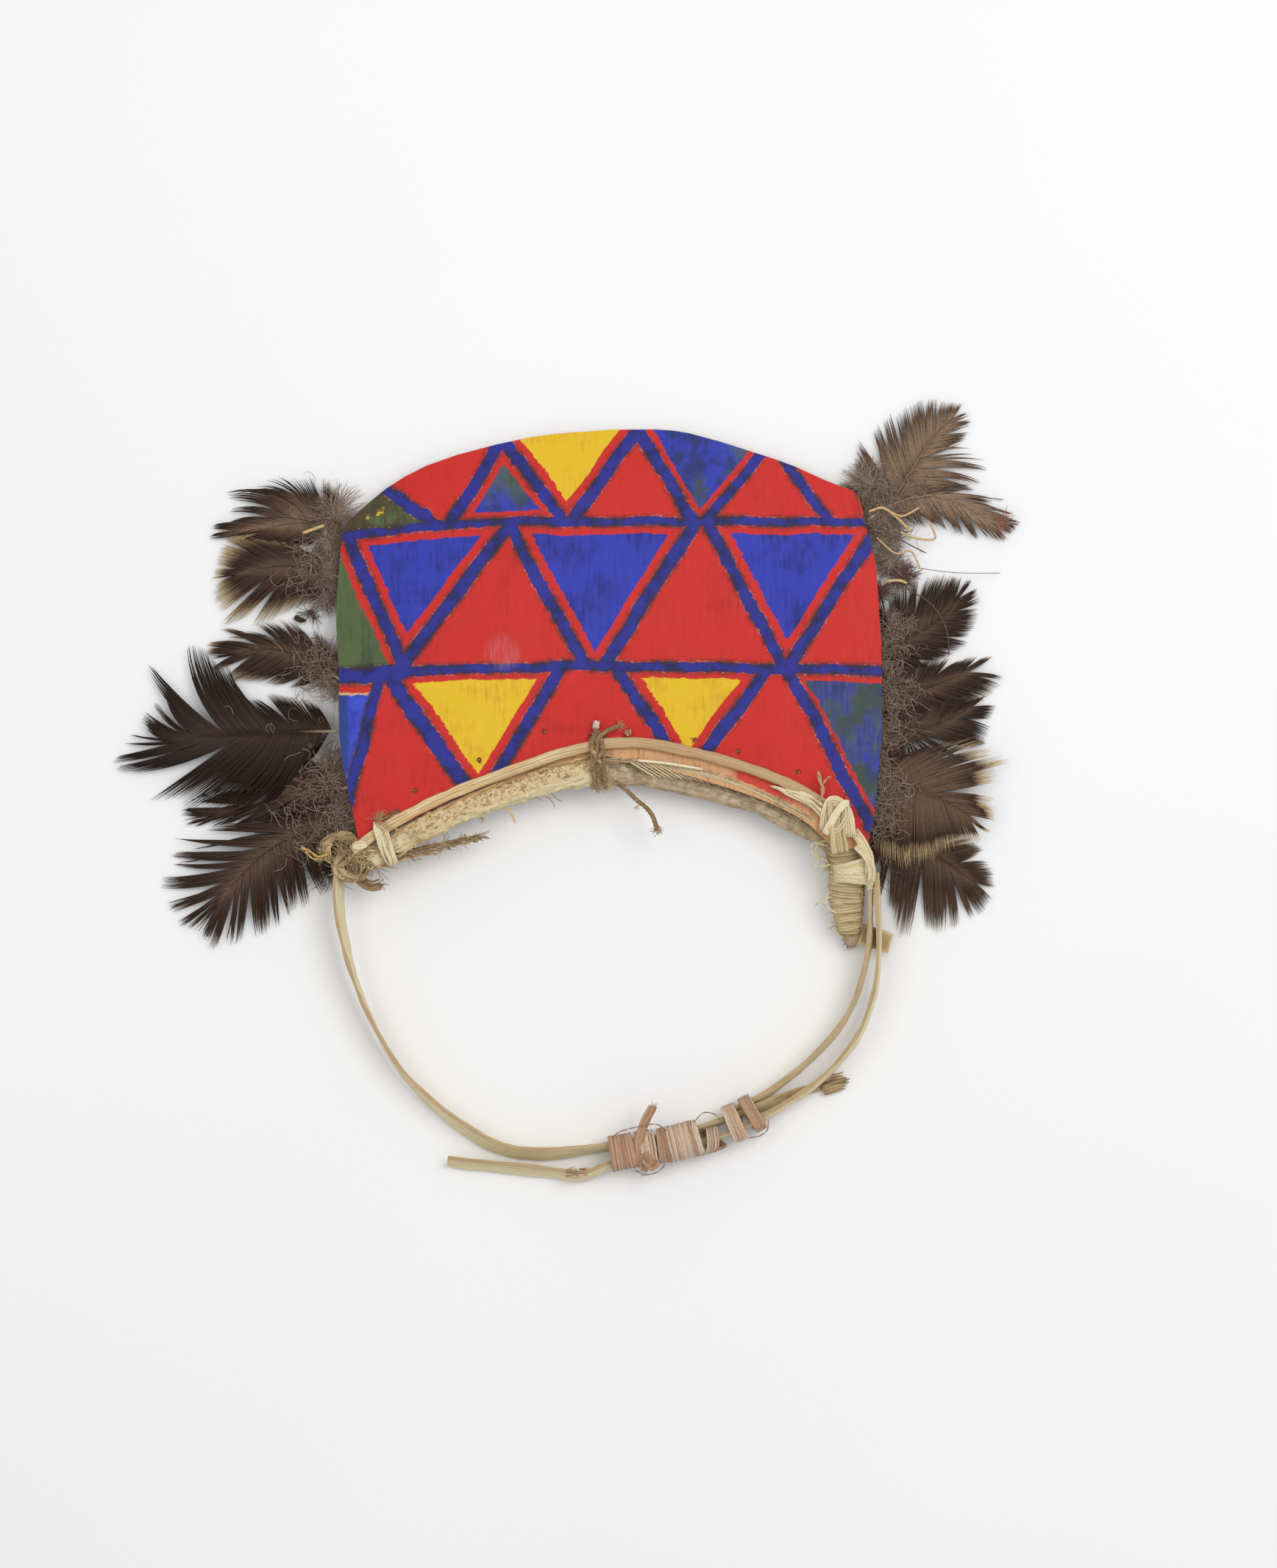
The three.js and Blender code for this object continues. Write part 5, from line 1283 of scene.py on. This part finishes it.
# Each feather: its shaft in millimetres from the brow line, its rest height, its colours from the
# root to the tip of a barb, and for each side rows of place on the shaft, heading, bend and length.
FEATHERS = {
    "feather_left_1": dict(
        shaft=[(-101.7, 77.4), (-108, 81.5), (-117.6, 82.2), (-130, 80.9), (-142, 77.8)], rest=2.2,
        tones=[(0, PALE_BROWN), (0.25, MID_BROWN), (0.7, DARK), (1, DARK)], split=16, down=260,
        left=[(0.05, 250, -10, 8), (0.3, 225, -10, 15), (0.6, 208, -10, 19), (1, 185, 0, 9)],
        right=[(0.02, 80, 10, 15), (0.2, 92, 8, 20), (0.3, 100, 20, 21), (0.37, 104, 84, 32),
               (0.44, 118, 72, 33), (0.5, 140, 42, 26), (0.75, 165, 22, 19), (1, 180, 10, 10)]),
    "feather_left_2": dict(
        shaft=[(-103, 62.5), (-111.9, 65), (-121.4, 66.3), (-130, 65.4), (-140, 63)], rest=3.6,
        tones=[(0, MID_BROWN), (0.3, DARK), (0.66, DARK), (0.88, CREAM), (1, CREAM)], split=34, down=420,
        left=[(0.05, 262, -10, 9), (0.22, 245, -5, 17), (0.38, 234, -4, 27), (0.52, 226, -4, 31),
              (0.72, 212, -2, 24), (0.9, 198, 0, 15), (1, 185, 0, 10)],
        right=[(0.05, 120, 5, 12), (0.2, 138, 15, 22), (0.4, 150, 12, 27), (0.6, 158, 8, 25),
               (0.8, 168, 6, 18), (1, 182, 0, 10)]),
    "feather_left_3": dict(
        shaft=[(-103, 24.5), (-109.4, 28.5), (-122.7, 34.2), (-134.2, 34.5), (-141, 33)], rest=1.2,
        tones=[(0, MID_BROWN), (0.3, DARK), (0.75, DARK), (0.9, PALE_BROWN), (1, CREAM)], split=15, down=420,
        left=[(0.1, 205, 0, 13), (0.35, 218, -10, 18), (0.5, 214, -8, 22), (0.75, 206, 0, 17),
              (1, 190, 0, 11)],
        right=[(0.1, 80, 20, 12), (0.3, 96, 28, 18), (0.45, 118, 30, 18), (0.55, 146, 24, 21),
               (0.8, 160, 18, 17), (1, 176, 8, 12)]),
    "feather_left_4": dict(
        shaft=[(-102.2, 3.8), (-122, 3.4), (-143.3, 1.9), (-154.7, 1.5), (-164, 0.3)], rest=5.0,
        tones=[(0, DARK), (0.4, BLACK_BROWN), (1, BLACK_BROWN)], split=22, down=18,
        left=[(0.04, 240, 0, 12), (0.12, 262, -30, 28), (0.22, 262, -48, 44), (0.31, 240, -40, 46),
              (0.36, 222, -22, 40), (0.5, 207, -12, 43), (0.65, 198, -8, 36), (0.82, 192, -6, 24),
              (1, 186, -6, 13)],
        right=[(0.03, 110, 20, 12), (0.15, 125, 15, 20), (0.27, 132, 10, 19), (0.31, 138, -20, 34),
               (0.42, 142, -26, 40), (0.55, 150, -40, 40), (0.6, 158, -45, 30), (0.75, 164, -50, 24),
               (0.88, 178, -50, 19), (1, 186, -40, 12)]),
    "feather_left_5": dict(
        shaft=[(-99.2, -17.6), (-112, -18.5), (-128, -22), (-144, -27.5)], rest=1.4,
        tones=[(0, MID_BROWN), (0.3, DARK), (1, DARK)], split=16, down=360,
        left=[(0.02, 232, 0, 16), (0.2, 220, 0, 24), (0.4, 210, 0, 28), (0.7, 202, -5, 26), (1, 194, 0, 18)],
        right=[(0.02, 140, 5, 18), (0.2, 152, 5, 25), (0.4, 165, 8, 28), (0.7, 178, 8, 25), (1, 186, 0, 18)]),
    "feather_left_6": dict(
        shaft=[(-96.6, -30.1), (-106, -32), (-122.7, -37.7), (-132.6, -44.6), (-141.7, -53.7),
               (-145, -58)], rest=3.4,
        tones=[(0, MID_BROWN), (0.35, DARK), (0.8, DARK), (1, MID_BROWN)], split=10, down=360,
        left=[(0.05, 300, -5, 14), (0.2, 292, 0, 21), (0.3, 287, 3, 25), (0.45, 281, -2, 29),
              (0.6, 270, -3, 30), (0.75, 258, 0, 27), (0.9, 242, 0, 22), (1, 230, 0, 18)],
        right=[(0.05, 150, 10, 22), (0.2, 165, 10, 33), (0.35, 178, 8, 38), (0.5, 186, -4, 38),
               (0.65, 192, -8, 34), (0.8, 202, -12, 27), (1, 226, 0, 18)]),
    "feather_right_1": dict(
        shaft=[(97, 83), (103.5, 87), (107.4, 91.3), (112.4, 99.7), (121.1, 112.9), (129.5, 121.8)], rest=1.8,
        tones=[(0, PALE_BROWN), (0.4, PALE_BROWN), (0.8, MID_BROWN), (1, MID_BROWN)], split=8, down=340,
        left=[(0.02, 150, 5, 16), (0.2, 134, 5, 21), (0.35, 126, -4, 24), (0.55, 115, -4, 26),
              (0.72, 104, -5, 20), (0.85, 92, -5, 15), (0.94, 78, -10, 10), (1, 50, 0, 8)],
        right=[(0.2, -5, 0, 20), (0.4, 8, -12, 26), (0.6, 12, -24, 28), (0.69, 6, -16, 26),
               (0.71, 20, -2, 18), (0.87, 22, -8, 14), (1, 35, -20, 7)]),
    "feather_right_2": dict(
        shaft=[(98, 84), (108, 90), (119.9, 92.8), (129.3, 91), (138.6, 85.8), (146, 83.6)], rest=3.4,
        tones=[(0, PALE_BROWN), (0.4, PALE_BROWN), (0.85, MID_BROWN), (1, MID_BROWN)], split=9, down=300,
        left=[(0.2, 20, 0, 10), (0.42, 8, -20, 25), (0.65, -2, -18, 21), (0.87, -8, -10, 14), (1, -15, 0, 8)],
        right=[(0.2, -60, 10, 10), (0.4, -62, 12, 16), (0.58, -52, 5, 18), (0.75, -48, 0, 15),
               (0.9, -38, 5, 11), (1, -20, 0, 8)]),
    "feather_right_3": dict(
        shaft=[(101, 33), (105.3, 35.7), (114, 39.7), (124.1, 45.7), (132, 54)], rest=2.0,
        tones=[(0, MID_BROWN), (0.35, DARK), (0.85, DARK), (1, MID_BROWN)], split=22, down=360,
        left=[(0.05, 120, -5, 14), (0.2, 108, -10, 18), (0.45, 92, -10, 24), (0.65, 82, -8, 22),
              (0.85, 68, 0, 15), (1, 50, 0, 9)],
        right=[(0.05, -25, 0, 15), (0.2, -18, 0, 21), (0.5, -8, 0, 22), (0.75, 0, 0, 16), (1, 30, 0, 9)]),
    "feather_right_4": dict(
        shaft=[(100.5, 16.5), (108.5, 17.2), (119.5, 20), (135, 26)], rest=3.2,
        tones=[(0, MID_BROWN), (0.35, DARK), (0.85, DARK), (1, CREAM)], split=16, down=360,
        left=[(0.05, 110, -10, 12), (0.2, 95, -15, 15), (0.4, 80, -18, 18), (0.65, 58, -15, 16),
              (1, 28, 0, 12)],
        right=[(0.05, -70, 10, 12), (0.2, -52, 10, 14), (0.4, -34, 8, 17), (0.65, -14, -10, 21),
               (1, 4, -15, 15)]),
    "feather_right_5": dict(
        shaft=[(99.5, 1), (103.5, 1.8), (116.8, 4.3), (124.1, 6.2), (137, 13)], rest=2.4,
        tones=[(0, MID_BROWN), (0.35, DARK), (0.85, DARK), (1, PALE_BROWN)], split=18, down=360,
        left=[(0.05, 100, -10, 13), (0.2, 92, -12, 16), (0.4, 82, -18, 18), (0.6, 72, -18, 18),
              (0.82, 55, -12, 12), (1, 38, 0, 8)],
        right=[(0.05, -80, 0, 12), (0.2, -76, -10, 19), (0.38, -72, -18, 22), (0.42, -22, -10, 24),
               (0.7, -15, -10, 21), (1, 8, -10, 10)]),
    "feather_right_6": dict(
        shaft=[(99, -16.5), (105.7, -15.8), (114.9, -17.7), (124.1, -21.3), (136, -27.8)], rest=7.2, lift=6,
        tones=[(0, MID_BROWN), (0.5, MID_BROWN), (0.76, DARK), (0.86, CREAM), (1, CREAM)], split=30, down=360,
        left=[(0.05, 95, -30, 9), (0.15, 62, -20, 17), (0.28, 36, -12, 38), (0.5, 20, -8, 36),
              (0.75, 2, -5, 22), (1, -15, 0, 10)],
        right=[(0.05, 238, 0, 17), (0.2, 252, 3, 28), (0.42, 264, 6, 32), (0.6, 276, 6, 28),
               (0.8, 290, 8, 19), (1, 312, 10, 11)]),
    "feather_right_7": dict(
        shaft=[(99.5, -23.5), (106, -29), (116, -38), (127.8, -46.2), (137.5, -53)], rest=1.2,
        tones=[(0, MID_BROWN), (0.4, DARK), (0.85, MID_BROWN), (1, PALE_BROWN)], split=11, down=420,
        left=[(0.2, 48, -10, 9), (0.4, 40, -10, 14), (0.6, 30, -10, 17), (0.8, 14, 0, 14),
              (0.9, 0, 0, 12), (1, -25, 0, 9)],
        right=[(0.15, 255, 5, 20), (0.3, 260, 5, 30), (0.5, 264, 3, 37), (0.7, 276, 5, 28),
               (0.87, 294, 5, 18), (1, 320, 0, 10)]),
}

# Fluff that fills the places between the feathers: where, heading and spread, reach, count, colours.
LOOSE_ENDS = {
    "feather_left_1": [(-103, 84, 4, 80, 40, (6, 16), 160, FLUFF),
                       (-106, 76, 4, 200, 80, (3, 8), 160, FLUFF)],
    "feather_left_2": [(-106, 56, 3, 250, 60, (4, 10), 110, FLUFF),
                       (-113, 49, 1.6, 280, 70, (3, 7), 46, (DARK, DOWN_DARK))],
    "feather_left_3": [(-104, 26, 3, 130, 60, (4, 10), 190, FLUFF)],
    "feather_left_5": [(-103, -12, 3, 180, 50, (5, 14), 260, FLUFF)],
    "feather_left_6": [(-101, -34, 3, 200, 50, (5, 14), 300, FLUFF),
                       (-106, -44, 3, 280, 30, (8, 16), 60, (MID_BROWN, DARK))],
    "feather_right_1": [(99, 96, 4, 120, 40, (6, 14), 190, FLUFF),
                        (104, 86, 4, 0, 120, (4, 9), 260, FLUFF)],
    "feather_right_2": [(146, 84, 3.6, -20, 16, (4, 9), 40, (ROSE, PALE_BROWN)),
                        (106, 80, 4, 300, 70, (4, 10), 180, FLUFF),
                        (106, 69, 2.6, 270, 100, (3, 9), 300, FLUFF),
                        (111, 63, 2.6, 0, 160, (3, 8), 220, (FLUFF_BROWN, DOWN_DARK)),
                        (103, 57, 2.6, 0, 160, (2, 6), 160, (FLUFF_BROWN, DOWN_DARK))],
    "feather_right_3": [(109, 44, 3.2, 30, 120, (4, 10), 210, FLUFF)],
    "feather_right_4": [(104, 22, 3.4, 0, 120, (4, 10), 210, FLUFF)],
    "feather_right_5": [(103, 4, 3.4, 0, 120, (4, 10), 210, FLUFF),
                        (104, -8, 3.4, 0, 120, (4, 10), 260, FLUFF)],
    "feather_right_6": [(101, -24, 4, 250, 60, (6, 16), 240, FLUFF),
                        (102, -42, 3, 265, 24, (8, 22), 26, (DARK, DOWN_DARK))],
}

# Single strands that lie across the feathers: their places, width and colour.
STRAYS = {
    "feather_left_1": [([(-115.6, 78.6, 6.2), (-111, 80.2, 6.6), (-107.2, 81.6, 6.4)], 1.3, RAFFIA),
                       ([(-140, 83.2, 5), (-124, 84.6, 6.4), (-110, 82.6, 6.4)], 0.3, BLACK_BROWN)],
    "feather_left_2": [([(-118.6, 47.0, 1.2), (-117.0, 46.0, 2.4), (-114.8, 45.6, 1.2)], 2.2, DARK)],
    "feather_left_4": [([(-102, -2.4, 1), (-105, -4, 1), (-107, -1.6, 1), (-104, 0.4, 1)], 0.6, RAFFIA)],
    "feather_left_3": [([(-102.6, 20.6, 1), (-104.6, 18.6, 1), (-103.6, 15.4, 1),
                         (-102, 17.6, 1)], 0.6, RAFFIA)],
    "feather_right_2": [
        ([(93, 92.8, 9), (96, 83, 9), (104.6, 79, 7), (112, 75, 5), (120, 71, 4)], 0.5, MID_BROWN),
        ([(98, 86.6, 8), (103.4, 88, 7.4), (109, 84, 7), (113.4, 79.6, 6.6)], 1.0, RAFFIA),
        ([(104.6, 87.6, 7), (110.4, 85.0, 7.4), (117.4, 88.4, 6.4)], 0.8, RAFFIA),
        ([(110, 79, 5.6), (116.0, 76.6, 6.2), (123, 76.6, 5.6), (120.6, 83.4, 5.6)], 0.9, RAFFIA),
        ([(101, 77, 5), (108, 71, 6), (114, 71.6, 6), (118, 64, 5.6)], 0.7, RAFFIA),
        ([(104, 60.4, 4.4), (109, 60.8, 5), (112.6, 59.8, 5)], 1.2, CREAM),
        ([(113, 66, 5), (130, 63.8, 4), (148, 63.6, 3)], 0.25, MID_BROWN),
        ([(112, 58, 5), (122, 51.4, 5.4), (127.4, 42, 5), (128.4, 32, 4)], 0.5, MID_BROWN),
    ],
    "feather_right_6": [([(106, -9, 5), (120, -4, 5), (136, 6, 4)], 0.3, DARK),
                        ([(112, -11, 5), (126, -5, 5), (139, -1, 4)], 0.3, DARK)],
}


def barb_path(root, heading, bend, length, tip_height, curl):
    """The places along one barb, from the shaft to its free tip on or over the table."""
    places = [root.copy()]
    for step in range(1, BARB_STEPS + 1):
        share = step / BARB_STEPS
        turn = math.radians(heading + bend * share + curl * share * share)
        place = places[-1] + Vector((math.cos(turn), math.sin(turn), 0)) * (length / BARB_STEPS * MM)
        arch = math.sin(share * math.pi) * 0.5 * MM
        place.z = root.z + (tip_height * MM - root.z) * share**1.3 + arch
        places.append(place)
    return places


def add_vane(strands, line, rows, tones, split, lift):
    """One side of a feather: barbs along its shaft, parted into locks whose tips draw together."""
    chance = strands.chance
    start = rows[0][0]
    count = int(length_of(line) * (1 - start) / BARB_SPACING)
    drawn = 7 if rows[0][1] > rows[-1][1] else -7
    left_in_lock = 0
    for index in range(count):
        if left_in_lock <= 0:
            lock = max(3, int(chance.gauss(split, split * 0.45)))
            left_in_lock = lock
            lock_turn = chance.gauss(0, 3.2)
            lock_reach = chance.uniform(0.9, 1.04)
            lock_lift = chance.uniform(0.5, 2.6)
            lock_curl = chance.gauss(0, 6)
            previous = None
        place_in_lock = 1 - left_in_lock / lock
        pull = (place_in_lock - 0.5) * drawn
        left_in_lock -= 1
        at = start + (1 - start) * (index + chance.random() * 0.5) / count
        _, heading, bend, reach = along(rows, at)
        where = at * (len(line) - 1)
        step = min(int(where), len(line) - 2)
        root = line[step].lerp(line[step + 1], where - step)
        reach = reach * lock_reach * chance.uniform(0.93, 1.03)
        heading = heading + lock_turn * 0.6
        bend = bend + lock_turn + pull
        tip_height = max(0.4, lift + lock_lift + chance.gauss(0, 0.25))
        path = barb_path(root, heading, bend, reach, tip_height, lock_curl)
        apart = (path[4] - previous[4]).length / MM if previous else 0.55
        previous = path
        wide = min(max(apart * 1.25, 0.34), 1.0)
        widths = [wide * share for share in (0.75, 1, 1, 0.96, 0.86, 0.66, 0.36)]
        shade = 1 + chance.gauss(0, 0.10)
        colours = []
        for barb_step in range(BARB_STEPS + 1):
            share = min(barb_step / BARB_STEPS, 0.5 + at * 1.2)
            _, *colour = along([(place, *colour) for place, colour in tones], share)
            colours.append([max(0.0, part * shade) for part in colour])
        strands.add(path, [*widths, HAIR_TIP], colours)


def add_down(strands, line, count):
    """Curly down round the foot of a feather."""
    chance = strands.chance
    for _ in range(count):
        where = chance.random() ** 1.6 * 0.42 * (len(line) - 1)
        off = Vector((chance.gauss(0, 2.8), chance.gauss(0, 4.6), chance.uniform(-0.6, 0.8)))
        path = [line[int(where)] + off * MM]
        turn = chance.uniform(0, 2 * math.pi)
        bend = chance.gauss(0, 0.55)
        stride = chance.uniform(0.8, 1.9)
        for _step in range(DOWN_STEPS):
            turn += bend + chance.gauss(0, 0.25)
            ahead = path[-1] + Vector((math.cos(turn), math.sin(turn), chance.gauss(0, 0.18))) * stride * MM
            ahead.z = max(ahead.z, TABLE_GAP * MM)
            path.append(ahead)
        tone = blended(DOWN, DOWN_DARK, chance.random())
        wide = chance.uniform(0.14, 0.3)
        strands.add(path, [wide] * DOWN_STEPS + [0.05], [tone] * (DOWN_STEPS + 1), flat=0.8)


for feather_number, (node, shape) in enumerate(FEATHERS.items()):
    chance = random.Random(100 + feather_number)
    strands = Strands(chance)
    rest = shape["rest"]
    drop = max(back_height(shape["shaft"][0][1]) - QUILL_DROP - rest, 0.6)
    shaft_line = []
    for index, place in enumerate(smooth_line([(x, y, 0) for x, y in shape["shaft"]], SHAFT_STEPS + 1)):
        height = rest + drop * (1 - index / SHAFT_STEPS) ** 2.2
        shaft_line.append(spot(place.x, place.y, max(height, 0.9)))
    lead = (shaft_line[0] - shaft_line[1]).normalized() * TUCKED * MM
    lead.z = 0
    full_line = [shaft_line[0] + lead * share for share in (1, 0.75, 0.5, 0.25)]
    for place in full_line:
        place.z = (back_height((place.y - BROW_Y) / MM) - QUILL_DROP) * MM
    full_line += shaft_line
    steps = range(len(full_line))
    widths = [QUILL_WIDTH * (1 - 0.86 * index / steps[-1]) for index in steps]
    colours = [blended(QUILL, shape["tones"][1][1], min(1, index / 10)) for index in steps]
    strands.add(full_line, widths, colours, sides=8, flat=0.85)
    for side in ("left", "right"):
        add_vane(strands, shaft_line, shape[side], shape["tones"], shape["split"], shape.get("lift", 0))
    add_down(strands, shaft_line, shape["down"])
    for x, y, height, heading, spread, reach, count, tones in LOOSE_ENDS.get(node, ()):
        strands.hairs(spot(x, y, height), heading, spread, reach, count, tones, rise=0.06)
    for points, width, tone in STRAYS.get(node, ()):
        stray = resampled(spots(*points), 1.0)
        widths = [width] * (len(stray) - 1) + [width * 0.3]
        strands.add(stray, widths, [tone] * len(stray), sides=5, flat=0.7)
    settle(strands.made(node.replace("feather", "plume")), plume, node)


# The table. The headdress lies on a plain pale sheet, which is only the stage for the picture and
# isn't part of the object. Its tone varies a little, as paper does under soft light.
SHEET_SIZE = 6
SHEET_DROP = 0.0003
SHEET_LIGHT = (0.90, 0.90, 0.905, 1)
SHEET_SHADE = (0.86, 0.86, 0.862, 1)
bpy.ops.object.select_all(action="DESELECT")
bpy.ops.mesh.primitive_plane_add(size=SHEET_SIZE, location=(0, 0, -SHEET_DROP))
table = bpy.context.object
table.name = "table"
constants = {"Roughness": 0.9, "Specular IOR Level": 0.1}
sheet_finish, sheet_shader, on_table = new_finish("pale_table", constants)
on_table.cloud(3, 2.0).between(SHEET_LIGHT, SHEET_SHADE).feeds(sheet_shader, "Base Color")
table.data.materials.append(sheet_finish)
